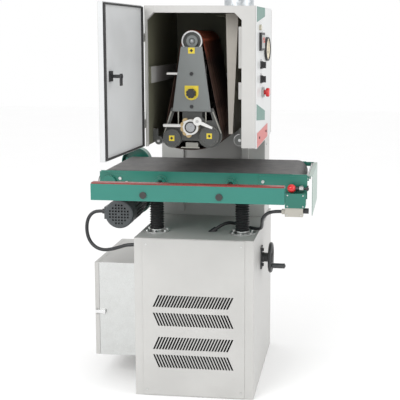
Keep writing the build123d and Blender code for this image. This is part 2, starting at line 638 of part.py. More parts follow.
def upper_yoke():
    half_low = 78
    half_high = 43
    outline = [(-half_low, YOKE_BASE), (half_low, YOKE_BASE), (half_high, YOKE_TOP), (-half_high, YOKE_TOP)]
    front = plate_y(outline, YOKE_FRONT, YOKE_FRONT + PLATE_T)
    rear = plate_y(outline, YOKE_BACK, YOKE_BACK + PLATE_T)
    rear += plate_y([(-16, YOKE_TOP - 1), (16, YOKE_TOP - 1), (16, TOP_Z + 14), (-16, TOP_Z + 14)],
                    YOKE_BACK, YOKE_BACK + PLATE_T)
    tie = block(-34, 34, YOKE_FRONT + PLATE_T, YOKE_BACK, TIE_Z, TIE_Z + 12)
    rear += rod_y(0, TOP_Z, 10, YOKE_FRONT + 16, YOKE_BACK + PLATE_T)
    pistons = []
    for y in (-250, -30):
        rod = rod_z(0, y, 8, CYLINDER_TOP - 60, TIE_Z)
        pistons.append(rod + rod_z(0, y, CYLINDER_R - 4 - GAP, CYLINDER_TOP - 60, CYLINDER_TOP - 48))
    cap = rod_y(0, TOP_Z, 23, YOKE_FRONT + 13, YOKE_FRONT + 16)
    handle = rod_x(YOKE_FRONT + PLATE_T / 2, HANDLE_Z, 4.8, -101, -50)
    bolts = [bolt_y(0, HANDLE_Z, 8, YOKE_FRONT), bolt_y(0, YOKE_BASE + 19, 8, YOKE_FRONT)]
    knob_seat = block(-28, 28, YOKE_FRONT - 2, YOKE_FRONT, 1278, 1310)
    knob_seat += rod_y(0, KNOB_Z, 28, YOKE_FRONT - 2, YOKE_FRONT)
    knob_seat -= rod_y(0, KNOB_Z, 6 + RUN_CLEAR, YOKE_FRONT - 3, YOKE_FRONT + PLATE_T)
    front = (front + handle + bolts) - rod_y(0, KNOB_Z, 6 + RUN_CLEAR, YOKE_FRONT - 1, YOKE_FRONT + 8)
    return [front, rear + cap, tie, knob_seat] + pistons


def top_roller():
    front = YOKE_FRONT + 10 + GAP
    roller = rod_y(0, TOP_Z, TOP_R, front, ROLLER_BACK)
    roller -= rod_y(0, TOP_Z, TOP_R - 6, front - 1, front + 12)
    roller -= rod_y(0, TOP_Z, 10 + RUN_CLEAR, front - 1, ROLLER_BACK + 1)
    return roller


def contact_drum():
    drum = rod_y(DRUM_X, DRUM_Z, DRUM_R, ROLLER_FRONT, ROLLER_BACK)
    drum += rod_y(DRUM_X, DRUM_Z, 15, FRAME_FRONT + 1, PULLEY_Y1 + 6)
    pulley = rod_y(DRUM_X, DRUM_Z, DRUM_PULLEY_R, PULLEY_Y0, PULLEY_Y1)
    for y in groove_ys():
        pulley -= belt_ring(DRUM_X, DRUM_Z, DRUM_PULLEY_R + 1, DRUM_PULLEY_R - 8, y - 6, y + 6)
    return drum + pulley


def guide_roller():
    roller = rod_y(GUIDE_X, GUIDE_Z, GUIDE_R, ROLLER_FRONT, ROLLER_BACK)
    return roller + rod_y(GUIDE_X, GUIDE_Z, 12, FRAME_FRONT + 1, FRAME_BACK + FRAME_T + 9)


BELT_SAG = 11


def abrasive_belt():
    circles = ((0, TOP_Z, TOP_R), (DRUM_X, DRUM_Z, DRUM_R), (GUIDE_X, GUIDE_Z, GUIDE_R))
    y0 = ROLLER_FRONT - 2
    plane = Plane(origin=(0, y0, 0), x_dir=(1, 0, 0), z_dir=(0, -1, 0))
    faces = []
    for grow in (GAP + ABRASIVE_T, GAP):
        left = (GUIDE_X, GUIDE_Z - GUIDE_R - grow)
        right = (DRUM_X, DRUM_Z - DRUM_R - grow)
        middle = ((left[0] + right[0]) / 2, (left[1] + right[1]) / 2 - BELT_SAG)
        sag = make_face([ThreePointArc(left, middle, right), Line(right, left)])
        slab = extrude(plane * loop_outline(circles, grow), amount=ABRASIVE_W, dir=(0, 1, 0))
        faces.append(slab + extrude(plane * sag, amount=ABRASIVE_W, dir=(0, 1, 0)))
    return faces[0] - faces[1]


def tension_knob():
    knob = rod_y(0, KNOB_Z, 19, YOKE_FRONT - 22, YOKE_FRONT - 2 - GAP)
    for i in range(8):
        a = math.radians(i * 45)
        knob -= rod_y(20.5 * math.cos(a), KNOB_Z + 20.5 * math.sin(a), 4, YOKE_FRONT - 23, YOKE_FRONT)
    return knob + rod_y(0, KNOB_Z, 6, YOKE_FRONT - 3, YOKE_FRONT + 6)


def clamp_lever():
    y0 = YOKE_FRONT - 14
    y1 = YOKE_FRONT - 1
    hub = rod_y(0, SUPPORT_Z, 31, y0, y1)
    for angle in (135, 165, 195, 225, 252):
        a = math.radians(angle)
        hub += rod_y(34 * math.cos(a), SUPPORT_Z + 34 * math.sin(a), 11, y0, y1)
    hub -= rod_y(0, SUPPORT_Z, 21 + RUN_CLEAR, y0 - 1, y1 + 1)
    arm = rod_x((y0 + y1) / 2, SUPPORT_Z + 4, 6.3, -114, -26)
    return hub + (arm - rod_y(0, SUPPORT_Z, 25, y0 - 1, y1 + 1))


def platen_cam_lever():
    y0 = YOKE_FRONT - 42
    y1 = YOKE_FRONT - 32 - GAP
    ring = rod_y(STOP_X, CAM_Z, 17, y0, y1)
    arm = plate_y([(40, 1174), (36, 1160), (88, 1141), (91, 1149)], y0 + 2, y1)
    return (ring + arm) - rod_y(STOP_X, CAM_Z, 6 + RUN_CLEAR, y0 - 1, y1 + 1)



def platen():
    shoe = block(-30, 21, ROLLER_FRONT, 58, 1058, 1079)
    shoe = fillet(shoe.edges().filter_by(Axis.Y).group_by(Axis.Z)[0], 4)
    return shoe


def hold_down_brackets():
    pieces = []
    for x, z, r in ((HOLD_IN_X, HOLD_IN_Z, HOLD_IN_R), (HOLD_OUT_X, HOLD_OUT_Z, HOLD_OUT_R)):
        for y0 in (ROLLER_FRONT - 2, ROLLER_BACK - 10):
            arm = rod_y(x, z, r - 3, y0, y0 + 10)
            wall = HOUSING_X1 - 2 if x > 0 else HOUSING_X0 + 2
            far = min(x, wall), max(x, wall)
            arm += block(far[0], far[1], y0, y0 + 10, z, z + 50)
            arm -= rod_y(x, z, 6 + RUN_CLEAR, y0 - 1, y0 + 11)
            pieces.append(arm)
    return pieces


HOLD_IN_R = 25
HOLD_IN_X = 190
HOLD_IN_Z = 1066 + HOLD_IN_R
HOLD_OUT_R = 17
HOLD_OUT_X = -143
HOLD_OUT_Z = 1066 + HOLD_OUT_R


def hold_down_roller(x, z, r):
    roller = rod_y(x, z, r, ROLLER_FRONT + 10, ROLLER_BACK - 12)
    return roller + rod_y(x, z, 6, ROLLER_FRONT - 1, ROLLER_BACK - 1)


def label_plates():
    pieces = []
    cap_face = FRAME_FRONT - 12
    for x, z in ((DRUM_X, DRUM_Z), (GUIDE_X, GUIDE_Z)):
        pieces.append(block(x - 11, x + 11, cap_face - 1, cap_face, z - 11, z + 11))
    return pieces


# ---- door, modelled closed and swung open about its hinge ----
LATCH_X = HINGE_X + 372
LATCH_Z = 1367
HINGE_ZS = (1180, 1515)


def opened(shape):
    """Turns a piece of the closed door to where the door stands open."""
    axis = Axis((HINGE_X, HINGE_Y, 0), (0, 0, 1))
    return shape.rotate(axis, -DOOR_OPEN)


def door_panel():
    x0 = HOUSING_X0 + 6
    x1 = x0 + DOOR_W
    pan = block(x0, x1, DOOR_OUTER, DOOR_INNER, DOOR_Z0, DOOR_Z1)
    pan = fillet(pan.edges().filter_by(Axis.Z).group_by(Axis.Y)[0], 4)
    pan -= block(x0 + 2, x1 - 2, DOOR_OUTER + 2, DOOR_INNER + 1, DOOR_Z0 + 2, DOOR_Z1 - 2)
    skin = block(x0 + 2, x1 - 2, DOOR_INNER - 3, DOOR_INNER - 1, DOOR_Z0 + 2, DOOR_Z1 - 2)
    hole = rod_y(LATCH_X, LATCH_Z, 8, DOOR_OUTER - 1, DOOR_INNER + 1)
    pan -= hole
    skin -= hole
    pieces = [pan, skin]
    for z in HINGE_ZS:
        knuckle = rod_z(HINGE_X, HINGE_Y, 8, z + 1, z + 32)
        web = block(HINGE_X - 4, HINGE_X + 2, DOOR_OUTER - 3, HINGE_Y - 4, z + 1, z + 32)
        leaf = block(HINGE_X - 4, x0 + 50, DOOR_OUTER - 3, DOOR_OUTER, z + 1, z + 32)
        leaf = knuckle + web + leaf
        pieces.append(leaf - rod_z(HINGE_X, HINGE_Y, 4 + RUN_CLEAR, z, z + 33))
    return [opened(piece) for piece in pieces]


def door_gasket():
    x0 = HOUSING_X0 + 10
    x1 = x0 + DOOR_W - 8
    ring = block(x0, x1, DOOR_INNER - 1, DOOR_INNER + DOOR_GAP - GAP, DOOR_Z0 + 4, DOOR_Z1 - 4)
    ring -= block(x0 + 5, x1 - 5, DOOR_INNER - 2, DOOR_INNER + DOOR_GAP, DOOR_Z0 + 9, DOOR_Z1 - 9)
    return opened(ring)


def door_latch_case():
    """Black housing of the latch: a plate on each side of the door."""
    inner = block(LATCH_X - 14, LATCH_X + 14, DOOR_INNER - 1, DOOR_INNER + 5, LATCH_Z - 18, LATCH_Z + 18)
    outer = block(LATCH_X - 30, LATCH_X + 30, DOOR_OUTER - 6, DOOR_OUTER, LATCH_Z - 45, LATCH_Z + 45)
    bore = rod_y(LATCH_X, LATCH_Z, 6 + RUN_CLEAR, DOOR_OUTER - 30, DOOR_INNER + 30)
    outer = fillet(outer.edges().filter_by(Axis.Y), 8)
    return [opened(inner - bore), opened(outer - bore)]


def door_latch_handle():
    cam_y = HOUSING_FRONT + 28
    cam = block(LATCH_X - 9, LATCH_X + 9, cam_y, cam_y + 5, LATCH_Z - 32, LATCH_Z + 9)
    spindle = rod_y(LATCH_X, LATCH_Z, 6, DOOR_OUTER - 14, cam_y + 8)
    face = DOOR_OUTER - 6 - GAP
    paddle = block(LATCH_X - 9, LATCH_X + 9, DOOR_OUTER - 18, face, LATCH_Z - 40, LATCH_Z + 12)
    return opened(spindle + cam + paddle)


def door_hinges():
    pieces = []
    for z in HINGE_ZS:
        pin = rod_z(HINGE_X, HINGE_Y, 4, z - 32, z + 33)
        knuckle = rod_z(HINGE_X, HINGE_Y, 8, z - 32, z)
        leaf = block(HINGE_X - 3, HOUSING_X0, HINGE_Y, HOUSING_FRONT + 40, z - 32, z)
        pieces.append(pin + knuckle + leaf)
    return pieces


# ---- control box ----
CONTROL_PLANE = Plane(
    origin=(HOUSING_X1, HOUSING_FRONT + 6, 0),
    x_dir=(math.sin(math.radians(CONTROL_TURN)), math.cos(math.radians(CONTROL_TURN)), 0),
    z_dir=(math.cos(math.radians(CONTROL_TURN)), -math.sin(math.radians(CONTROL_TURN)), 0),
)
CONTROL_T = 4
READOUT = (87, 1486)
GAUGE = (203, 1456)
GAUGE_R = 48
SELECTORS = ((88, 1395), (88, 1339))
ESTOP = (118, 1286)


def on_control(shape, lift=0):
    return CONTROL_PLANE * Pos(0, 0, lift) * shape


def control_disc(place, r, low, high):
    return on_control(Pos(place[0], place[1], (low + high) / 2) * Cylinder(r, high - low))


def control_block(place, w, h, low, high):
    return on_control(Pos(place[0], place[1], (low + high) / 2) * Box(w, h, high - low))


def control_box():
    """Wedge on the infeed wall of the housing; its lower edge rises a little towards the back."""
    outline = [(0, 1072), (CONTROL_W, 1100), (CONTROL_W, MACHINE_H - 2), (0, MACHINE_H - 2)]
    face = extrude(CONTROL_PLANE * Polygon(*outline, align=None), amount=CONTROL_T)
    depth = CONTROL_W * math.sin(math.radians(CONTROL_TURN))
    y0 = HOUSING_FRONT + 6
    y1 = y0 + CONTROL_W * math.cos(math.radians(CONTROL_TURN))
    wedge = plate_z([(HOUSING_X1, y0), (HOUSING_X1 + depth, y1), (HOUSING_X1, y1)], 1100, MACHINE_H - 2)
    core = plate_z(
        [(HOUSING_X1, y0 + 40), (HOUSING_X1 + depth - 2, y1 - 3), (HOUSING_X1, y1 - 3)], 1103, MACHINE_H - 5
    )
    body = (wedge - core) + face
    for place in SELECTORS:
        body -= control_disc(place, 8 + GAP, -30, CONTROL_T + 1)
    body -= control_disc(ESTOP, 9 + GAP, -30, CONTROL_T + 1)
    return body


def panel_instruments():
    case = control_block(READOUT, 74, 70, CONTROL_T, CONTROL_T + 9)
    window = control_block(READOUT, 62, 52, CONTROL_T + 9, CONTROL_T + 10)
    gauge = control_disc(GAUGE, GAUGE_R, CONTROL_T, CONTROL_T + 10)
    gauge -= control_disc(GAUGE, GAUGE_R - 5, CONTROL_T + 7, CONTROL_T + 11)
    needle = control_block((GAUGE[0], GAUGE[1] + 12), 2, 36, CONTROL_T + 7, CONTROL_T + 8)
    lamp = control_disc((60, 1541), 11, CONTROL_T, CONTROL_T + 8)
    return [case, window, gauge, needle, lamp]


def selector_bezels():
    pieces = []
    for place in SELECTORS:
        bezel = control_block(place, 30, 30, CONTROL_T, CONTROL_T + 6)
        pieces.append(bezel - control_disc(place, 8 + GAP, 0, CONTROL_T + 7))
    collar = control_disc(ESTOP, 21, CONTROL_T, CONTROL_T + 8)
    pieces.append(collar - control_disc(ESTOP, 9 + GAP, 0, CONTROL_T + 9))
    return pieces


def control_trim():
    """Painted bands of the face: two green fields and the pale red band, with its screws."""
    shapes = (
        [(1, 1560), (165, 1585), (165, MACHINE_H - 3), (1, MACHINE_H - 3)],
        [(1, 1184), (175, 1170), (175, 1208), (1, 1247)],
        [(14, 1075), (235, 1097), (235, 1152), (14, 1132)],
    )
    pieces = []
    for points in shapes:
        pieces.append(on_control(extrude(Polygon(*points, align=None), amount=0.8), CONTROL_T))
    for place in ((60, 1110), (200, 1122)):
        pieces.append(control_disc(place, 5, CONTROL_T + 0.8, CONTROL_T + 3))
    return pieces


def selector_knob(place):
    stem = control_disc(place, 8, 0.5, CONTROL_T + 6 + GAP)
    disc = control_disc(place, 13, CONTROL_T + 6 + GAP, CONTROL_T + 10)
    bar = control_block(place, 7, 25, CONTROL_T + 10, CONTROL_T + 20)
    return stem + disc + bar


def estop_button():
    stem = control_disc(ESTOP, 9, 0, CONTROL_T + 15)
    head = control_disc(ESTOP, 18, CONTROL_T + 15, CONTROL_T + 30)
    head = fillet(head.edges().filter_by(GeomType.CIRCLE), 5)
    return stem + head


# ---- feed table ----
def table_frame():
    """Welded bed under the belt, with far side plate, slide shoes on the column and roller ears."""
    near = FEED_FRONT - GAP
    far_y = FEED_BACK + GAP
    bed_top = TABLE_Z - FEED_BELT_T - GAP
    bed = block(DRIVE_X + FEED_ROLLER_R + 12, IDLER_X - FEED_ROLLER_R - 12, FEED_FRONT + 6, FEED_BACK - 6,
                bed_top - 8 + GAP, bed_top)
    under = block(-240, 300, near, far_y, BED_BOTTOM, BED_BOTTOM + 6)
    x0 = DRIVE_X - 40
    x1 = IDLER_X + 40
    ear = block(x0, x1, FEED_FRONT - 4, near, BED_BOTTOM, TABLE_Z - 6)
    far = block(x0, x1, far_y, FEED_BACK + 6, BED_BOTTOM, TABLE_Z - 6)
    for x in (DRIVE_X, IDLER_X):
        ear -= rod_y(x, ROLLER_Z, 14 + RUN_CLEAR, FEED_FRONT - 10, FEED_FRONT + 5)
        far -= rod_y(x, ROLLER_Z, 14 + RUN_CLEAR, FEED_BACK - 5, FEED_BACK + 10)
    plates = [bed, under, ear, far]
    for x in (-200, -60, 100, 260):
        plates.append(block(x, x + 6, near, far_y, RIB_Z, bed_top - 8 + GAP))
    for x in ROD_XS:
        plates.append(block(x - 22, x + 22, near, FEED_FRONT + 60, ROD_Z - 20, ROD_Z + 20))
    frame = []
    for plate in plates:
        for x in ROD_XS:
            plate -= rod_y(x, ROD_Z, ROD_R + RUN_CLEAR, FEED_FRONT - 60, FEED_BACK + 60)
        frame.append(plate)
    return frame + saddle() + bellows_heads()


def saddle():
    """Box that ties the bed to the two shoes, which slide on the column's guide rails."""
    z0 = 800
    z1 = 930
    y0 = FEED_BACK + 6
    y1 = COLUMN_FRONT - 24
    inner_z = z1 - 6
    pieces = [
        block(-190, 190, y0, y0 + 6, z0, inner_z),
        block(-190, 190, y1 - 6, y1, z0, inner_z),
        block(-190, -170, y0 + 6, y1 - 6, z0, inner_z),
        block(170, 190, y0 + 6, y1 - 6, z0, inner_z),
        block(-190, 190, y0, y1, inner_z, z1),
    ]
    slot_y = COLUMN_FRONT - 18 - GAP
    slot_x = 15 + RUN_CLEAR * 4
    for side in (-1, 1):
        x = side * 150
        pieces.append(block(x - 30, x + 30, y1, slot_y, z0, z1))
        pieces.append(block(x - 30, x - slot_x, slot_y, COLUMN_FRONT - 4, z0, z1))
        pieces.append(block(x + slot_x, x + 30, slot_y, COLUMN_FRONT - 4, z0, z1))
    return pieces


def bellows_heads():
    """Discs under the bed that the bellows hang from, pinned through by the lift screws."""
    heads = []
    for side in (-1, 1):
        x = side * BELLOWS_X
        disc = rod_z(x, BELLOWS_Y, 38, BED_BOTTOM - 12, BED_BOTTOM)
        heads.append(disc - rod_z(x, BELLOWS_Y, SCREW_R, BED_BOTTOM - 13, BED_BOTTOM + 1))
    return heads


def side_panel():
    """Green near side plate with its slotted window at the outfeed end, cover plate and rod washers."""
    z0 = TABLE_Z - PANEL_H
    plate = block(PANEL_X0, PANEL_X1, PANEL_FRONT, FEED_FRONT - 4, z0, TABLE_Z - 1)
    lip = block(PANEL_X0, PANEL_X1, PANEL_FRONT, FEED_FRONT - 2, TABLE_Z - 5, TABLE_Z - 1)
    window = plate_y([(-392, 950), (-280, 950), (-252, 925), (-258, 902), (-300, 892), (-392, 862)],
                     PANEL_FRONT - 1, FEED_FRONT - 3)
    plate = (plate - window) + lip
    for x in ROD_XS:
        plate -= rod_y(x, ROD_Z, ROD_R + 1, PANEL_FRONT - 1, FEED_FRONT)
    cover = block(271, PANEL_X1, PANEL_FRONT - 3, PANEL_FRONT, z0 + 2, TABLE_Z - 8)
    pieces = [plate, cover, bolt_y(287, 927, 7, PANEL_FRONT - 3)]
    cap = rod_y(DRIVE_X, ROLLER_Z - 3, 30, PANEL_FRONT - 12, FEED_FRONT - 4)
    cap -= rod_y(DRIVE_X, ROLLER_Z - 3, 17, FEED_FRONT - 10, FEED_FRONT)
    pieces.append(cap)
    for x, z in ((-301, 927), (-274, 910)):
        pieces.append(bolt_y(x, z, 7, FEED_FRONT - 4, 6))
    for x in ROD_XS:
        washer = rod_y(x, ROD_Z, 26, PANEL_FRONT - 6, PANEL_FRONT)
        pieces.append(washer - rod_y(x, ROD_Z, ROD_R + 1, PANEL_FRONT - 7, PANEL_FRONT + 1))
        boss = rod_y(x, ROD_Z, 19, PANEL_FRONT - 24, PANEL_FRONT - 6)
        boss -= rod_y(x, ROD_Z, ROD_R + RUN_CLEAR, PANEL_FRONT - 25, PANEL_FRONT)
        pieces.append(boss - rod_z(x, PANEL_FRONT - 15, 4 + RUN_CLEAR, ROD_Z - 25, ROD_Z))
    return pieces


def feed_roller(x):
    middle = (FEED_FRONT + FEED_BACK) / 2
    roller = rod_y(x, ROLLER_Z, FEED_ROLLER_R, FEED_FRONT, FEED_BACK)
    roller -= rod_y(x, ROLLER_Z, FEED_ROLLER_R - 6, FEED_FRONT - 1, FEED_BACK + 1)
    roller += rod_y(x, ROLLER_Z, FEED_ROLLER_R - 5, middle - 8, middle + 8)
    roller += rod_y(x, ROLLER_Z, 14, FEED_FRONT - 4, FEED_BACK + 20)
    return roller


def feed_belt():
    circles = ((DRIVE_X, ROLLER_Z, FEED_ROLLER_R), (IDLER_X, ROLLER_Z, FEED_ROLLER_R))
    return band(circles, 0.3, FEED_BELT_T - 0.3, FEED_FRONT, FEED_BACK)


MOTOR_FAN_Y = -247
MOTOR_LEN = 250


def feed_motor():
    """Fan cover with its grille, finned body, hanging bracket and the gear case at the far end."""
    x = FEED_MOTOR_X
    z = FEED_MOTOR_Z
    cover = rod_y(x, z, FEED_MOTOR_R, MOTOR_FAN_Y, MOTOR_FAN_Y + 60)
    cover = fillet(cover.edges().filter_by(GeomType.CIRCLE).group_by(Axis.Y)[0], 8)
    holes = []
    pitch = 13
    for i in range(-3, 4):
        for k in range(-3, 4):
            if i * i + k * k <= 11 and (i or k):
                hole = Pos(x + i * pitch, MOTOR_FAN_Y + 4, z + k * pitch) * Box(7.5, 12, 7.5)
                holes.append(hole)
    cover -= holes
    body = rod_y(x, z, FEED_MOTOR_R - 9, MOTOR_FAN_Y + 60, MOTOR_FAN_Y + MOTOR_LEN)
    fins = []
    for i in range(20):
        fin = block(-1.8, 1.8, MOTOR_FAN_Y + 66, MOTOR_FAN_Y + MOTOR_LEN - 20, 0, 9)
        fins.append(Pos(x, 0, z) * Rot(0, i * 18, 0) * Pos(0, 0, FEED_MOTOR_R - 11) * fin)
    gear = rod_y(x, z, FEED_MOTOR_R - 14, MOTOR_FAN_Y + MOTOR_LEN, MOTOR_FAN_Y + MOTOR_LEN + 90)
    terminal = block(x - 70, x - 50, MOTOR_FAN_Y + 20, MOTOR_FAN_Y + 80, z - 26, z + 26)
    hanger = block(x + 20, x + 34, MOTOR_FAN_Y + 80, MOTOR_FAN_Y + 200, z + 46, BED_BOTTOM + 10)
    hanger -= block(x + 19, x + 35, MOTOR_FAN_Y + 79, MOTOR_FAN_Y + 201, BED_BOTTOM - 8, BED_BOTTOM + 12)
    seat = block(x + 20, -194, MOTOR_FAN_Y + 80, MOTOR_FAN_Y + 200, BED_BOTTOM - 8, BED_BOTTOM)
    motor = cover + body + fins + gear + terminal
    hanger -= rod_y(x, z, FEED_MOTOR_R - 9, MOTOR_FAN_Y + 60, MOTOR_FAN_Y + MOTOR_LEN)
    for turn in range(20):
        hanger -= fins[turn]
    gland = rod_x(MOTOR_FAN_Y + 40, z + 4, 11, x - 82, x - 70)
    return [motor, gland, hanger, seat]


def chain_guard():
    """Green cover round the chain between gear case and drive roller, outboard of the far side plate."""
    y0 = FEED_BACK + 22
    y1 = y0 + 46
    circles = ((DRIVE_X, ROLLER_Z + 20, 66), (FEED_MOTOR_X, FEED_MOTOR_Z, 60))
    plane = Plane(origin=(0, y0, 0), x_dir=(1, 0, 0), z_dir=(0, -1, 0))
    shape = extrude(plane * loop_outline(circles, 0), amount=y1 - y0, dir=(0, 1, 0))
    inner = Plane(origin=(0, y0 - 1, 0), x_dir=(1, 0, 0), z_dir=(0, -1, 0))
    shape -= extrude(inner * loop_outline(circles, -3), amount=y1 - y0 - 2, dir=(0, 1, 0))
    tab = block(DRIVE_X - 30, DRIVE_X + 60, FEED_BACK + 6, y0 + 3, TABLE_Z - 30, TABLE_Z - 8)
    tab -= block(DRIVE_X - 31, DRIVE_X + 61, FEED_BACK + 5, y0 + 4, TABLE_Z - 60, TABLE_Z - 12)
    return shape + tab


LEVER_Z = 907


def switch_box():
    """Terminal box at the infeed end with the lower junction box, gland and the ball lever's bracket."""
    y1 = PANEL_FRONT - 3
    front = y1 - 46
    box = block(380, 462, front, y1, 831, 889)
    box = fillet(box.edges().filter_by(Axis.Y).group_by(Axis.X)[-1], 8)
    lower = block(380, 452, front + 4, y1, 795, 831)
    gland = rod_x(y1 - 22, 817, 11, 452, 474)
    post = rod_x(y1 - 24, LEVER_Z, 10, 436, 452)
    post -= rod_x(y1 - 24, LEVER_Z, 4.5 + RUN_CLEAR, 430, 460)
    post += block(440, 450, y1 - 16, y1, LEVER_Z - 10, LEVER_Z + 10)
    return [box, lower, gland, post]


def stop_lever():
    """Ball lever: the rod slides in its post, and a small finger stands off its end."""
    y = PANEL_FRONT - 3 - 24
    half = Plane.XZ * (Rectangle(34, 17, align=(Align.CENTER, Align.MIN)) & Circle(17))
    ball = Pos(405, y, LEVER_Z) * revolve(half, Axis.X)
    shaft = rod_x(y, LEVER_Z, 4.5, 410, 474) + rod_x(y, LEVER_Z, 8, 418, 435) + rod_x(y, LEVER_Z, 8, 463, 467)
    return ball + shaft + block(466, 472, y - 5, y + 5, LEVER_Z - 8, LEVER_Z + 12)


KICK_X = 487


def kick_plate():
    y0 = FEED_FRONT + 10
    y1 = FEED_BACK - 10
    top = block(470, KICK_X, y0, y1, 950, 953)
    face = block(KICK_X - 3, KICK_X, y0, y1, 790, 953)
    pivot = rod_y(KICK_PIVOT_X, KICK_PIVOT_Z, 5, FEED_FRONT - 4, FEED_BACK + 6)
    ears = []
    for y in (y0 + 10, y1 - 16):
        ears.append(block(459, 478, y, y + 6, 938, 951))
    return top + face + pivot + ears


def kick_brackets():
    pieces = []
    for y0, y1 in ((FEED_FRONT - 4, FEED_FRONT - GAP), (FEED_BACK + GAP, FEED_BACK + 6)):
        bracket = block(IDLER_X + 40, 472, y0, y1, 934, 952)
        pieces.append(bracket - rod_y(KICK_PIVOT_X, KICK_PIVOT_Z, 5 + RUN_CLEAR, y0 - 1, y1 + 1))
    return pieces


def outboard_rail():
    z1 = TABLE_Z
    rail = block(RAIL_X0, RAIL_X1, RAIL_FRONT, RAIL_BACK, z1 - RAIL_H, z1 - 5)
    rail -= block(RAIL_X0 - 1, RAIL_X1 + 1, RAIL_FRONT + 3, RAIL_BACK - 3, z1 - RAIL_H + 3, z1 - 8)
    for x in ROD_XS:
        rail += rod_y(x, ROD_Z, ROD_R, RAIL_FRONT + 2, FEED_FRONT + 80)
        rail += rod_y(x, ROD_Z, 13, RAIL_FRONT - 5, RAIL_FRONT)
    strip = block(RAIL_X0 + 2, RAIL_X1 - 2, RAIL_FRONT + 1, RAIL_BACK - 1, z1 - 5, z1)
    strip = fillet(strip.edges().filter_by(Axis.X).group_by(Axis.Z)[-1], 2)
    return [rail, strip]


def rail_knob(x):
    """Clamp screw under the rod boss, with its star knob."""
    y = PANEL_FRONT - 15
    top = ROD_Z - 26 - 2
    screw = rod_z(x, y, 4, top - 4, ROD_Z - ROD_R - GAP)
    knob = rod_z(x, y, 14, top - 20, top)
    for i in range(6):
        a = math.radians(i * 60)
        knob -= rod_z(x + 17 * math.cos(a), y + 17 * math.sin(a), 5, top - 21, top + 1)
    return screw + knob


# ---- conduits and glands ----
# Routes in mm, chosen by hand: gland on the feed motor to the cabinet's left wall,
# and infeed box to cabinet top.
MOTOR_ROUTE = [
    (FEED_MOTOR_X - 82, MOTOR_FAN_Y + 40, FEED_MOTOR_Z + 4),
    (-448, -207, 757),
    (-472, -208, 746),
    (-488, -210, 722),
    (-493, -214, 690),
    (-489, -219, 655),
    (-474, -226, 624),
    (-447, -234, 602),
    (-412, -241, 594),
    (-376, -246, 600),
    (-340, -249, 611),
    (-302, -250, 624),
    (-CAB_X - 14, -250, 624),
]
TABLE_ROUTE = [
    (366, -381, 812),
    (338, -381, 812),
    (310, -374, 803),
    (290, -352, 783),
    (280, -318, 760),
    (276, -276, 733),
    (268, -232, 709),
    (251, -188, 694),
    (224, -150, 688),
    (188, -134, 691),
    (150, -143, 706),
    (118, -163, 713),
    (92, -176.5, 705.5),
    (TABLE_GLAND[0] + 16, TABLE_GLAND[1] + 5, TABLE_GLAND[2] + 11),
]


def conduit(points, r, name):
    radii = []
    for before, here, after in zip(points, points[1:], points[2:]):
        a = Vector(*here) - Vector(*before)
        b = Vector(*after) - Vector(*here)
        turn = math.radians(a.get_angle(b))
        radii.append(0.45 * min(a.length, b.length) / math.tan(turn / 2))
    path = FilletPolyline(*points, radius=radii)
    section = Plane(origin=path @ 0, z_dir=path % 0) * Circle(r)
    tube = sweep(section, path=path)
    print(name, "radii", [round(v) for v in radii], "length", round(path.length))
    print(name, "volume share", round(tube.volume / (math.pi * r * r * path.length), 4))
    return tube


def cable_glands():
    """Straight gland on the cabinet's wall and a leaning one on its top, in line with the conduit."""
    low = rod_x(MOTOR_GLAND[1], MOTOR_GLAND[2], 12, -CAB_X - 14, -CAB_X)
    lean = Vector(16, 5, 11).normalized()
    base = Vector(*TABLE_GLAND)
    barrel = Plane(origin=base - lean * 14, z_dir=lean) * Pos(0, 0, 17) * Cylinder(11, 34)
    barrel -= block(-CAB_X, CAB_X, CAB_FRONT, CAB_BACK, CABINET_H - 60, CABINET_H)
    return [low, barrel]


def infeed_gland():
    return rod_x(-381, 812, 11, 366, 380)


os.makedirs("parts", exist_ok=True)
save("base_cabinet", *base_cabinet())
save("base_louvre_panel", louvre_panel())
save("base_fasteners", *base_fasteners(), handwheel_bracket())
save("electrical_box", *electrical_box())
save("box_door", box_door())
save("box_latch", box_latch())
save("main_motor", *main_motor())
save("motor_pulley", motor_pulley())
save("v_belts", *v_belts())
save("column", *column())
save("lift_nut_left", lift_nut(-1))
save("lift_nut_right", lift_nut(1))
save("lift_chain", *lift_chain())
save("lift_screws", *lift_screws())
save("lift_bellows", *lift_bellows())
save("handwheel", handwheel())
save("handwheel_grip", handwheel_grip())
save("cable_glands", *cable_glands())
save("housing_shell", *housing_shell())
save("dust_hood", *dust_hood())
save("dust_port", dust_port())
save("head_frame", *head_frame(), *tension_cylinder())
save("roller_bearings", *roller_bearings(), *label_plates())
save("upper_yoke", *upper_yoke())
save("top_roller", top_roller())
save("contact_drum", contact_drum())
save("guide_roller", guide_roller())
save("abrasive_belt", abrasive_belt())
save("tension_knob", tension_knob())
save("clamp_lever", clamp_lever())
save("platen_cam_lever", platen_cam_lever())
save("platen", platen())
save("hold_down_brackets", *hold_down_brackets())
save("hold_down_roller_infeed", hold_down_roller(HOLD_IN_X, HOLD_IN_Z, HOLD_IN_R))
save("hold_down_roller_outfeed", hold_down_roller(HOLD_OUT_X, HOLD_OUT_Z, HOLD_OUT_R))
save("door_panel", *door_panel())
save("door_gasket", door_gasket())
save("door_latch_case", *door_latch_case())
save("door_latch_handle", door_latch_handle())
save("door_hinges", *door_hinges())
save("control_box", control_box(), *selector_bezels())
save("panel_instruments", *panel_instruments(), *control_trim())
save("selector_upper", selector_knob(SELECTORS[0]))
save("selector_lower", selector_knob(SELECTORS[1]))
save("estop_button", estop_button())
save("table_frame", *table_frame(), *kick_brackets())
save("table_side_panel", *side_panel())
save("conveyor_belt", feed_belt())
save("drive_roller", feed_roller(DRIVE_X))
save("idler_roller", feed_roller(IDLER_X))
save("conveyor_motor", *feed_motor())
save("chain_guard", chain_guard())
save("switch_box", *switch_box(), infeed_gland())
save("stop_lever", stop_lever())
save("kick_plate", kick_plate())
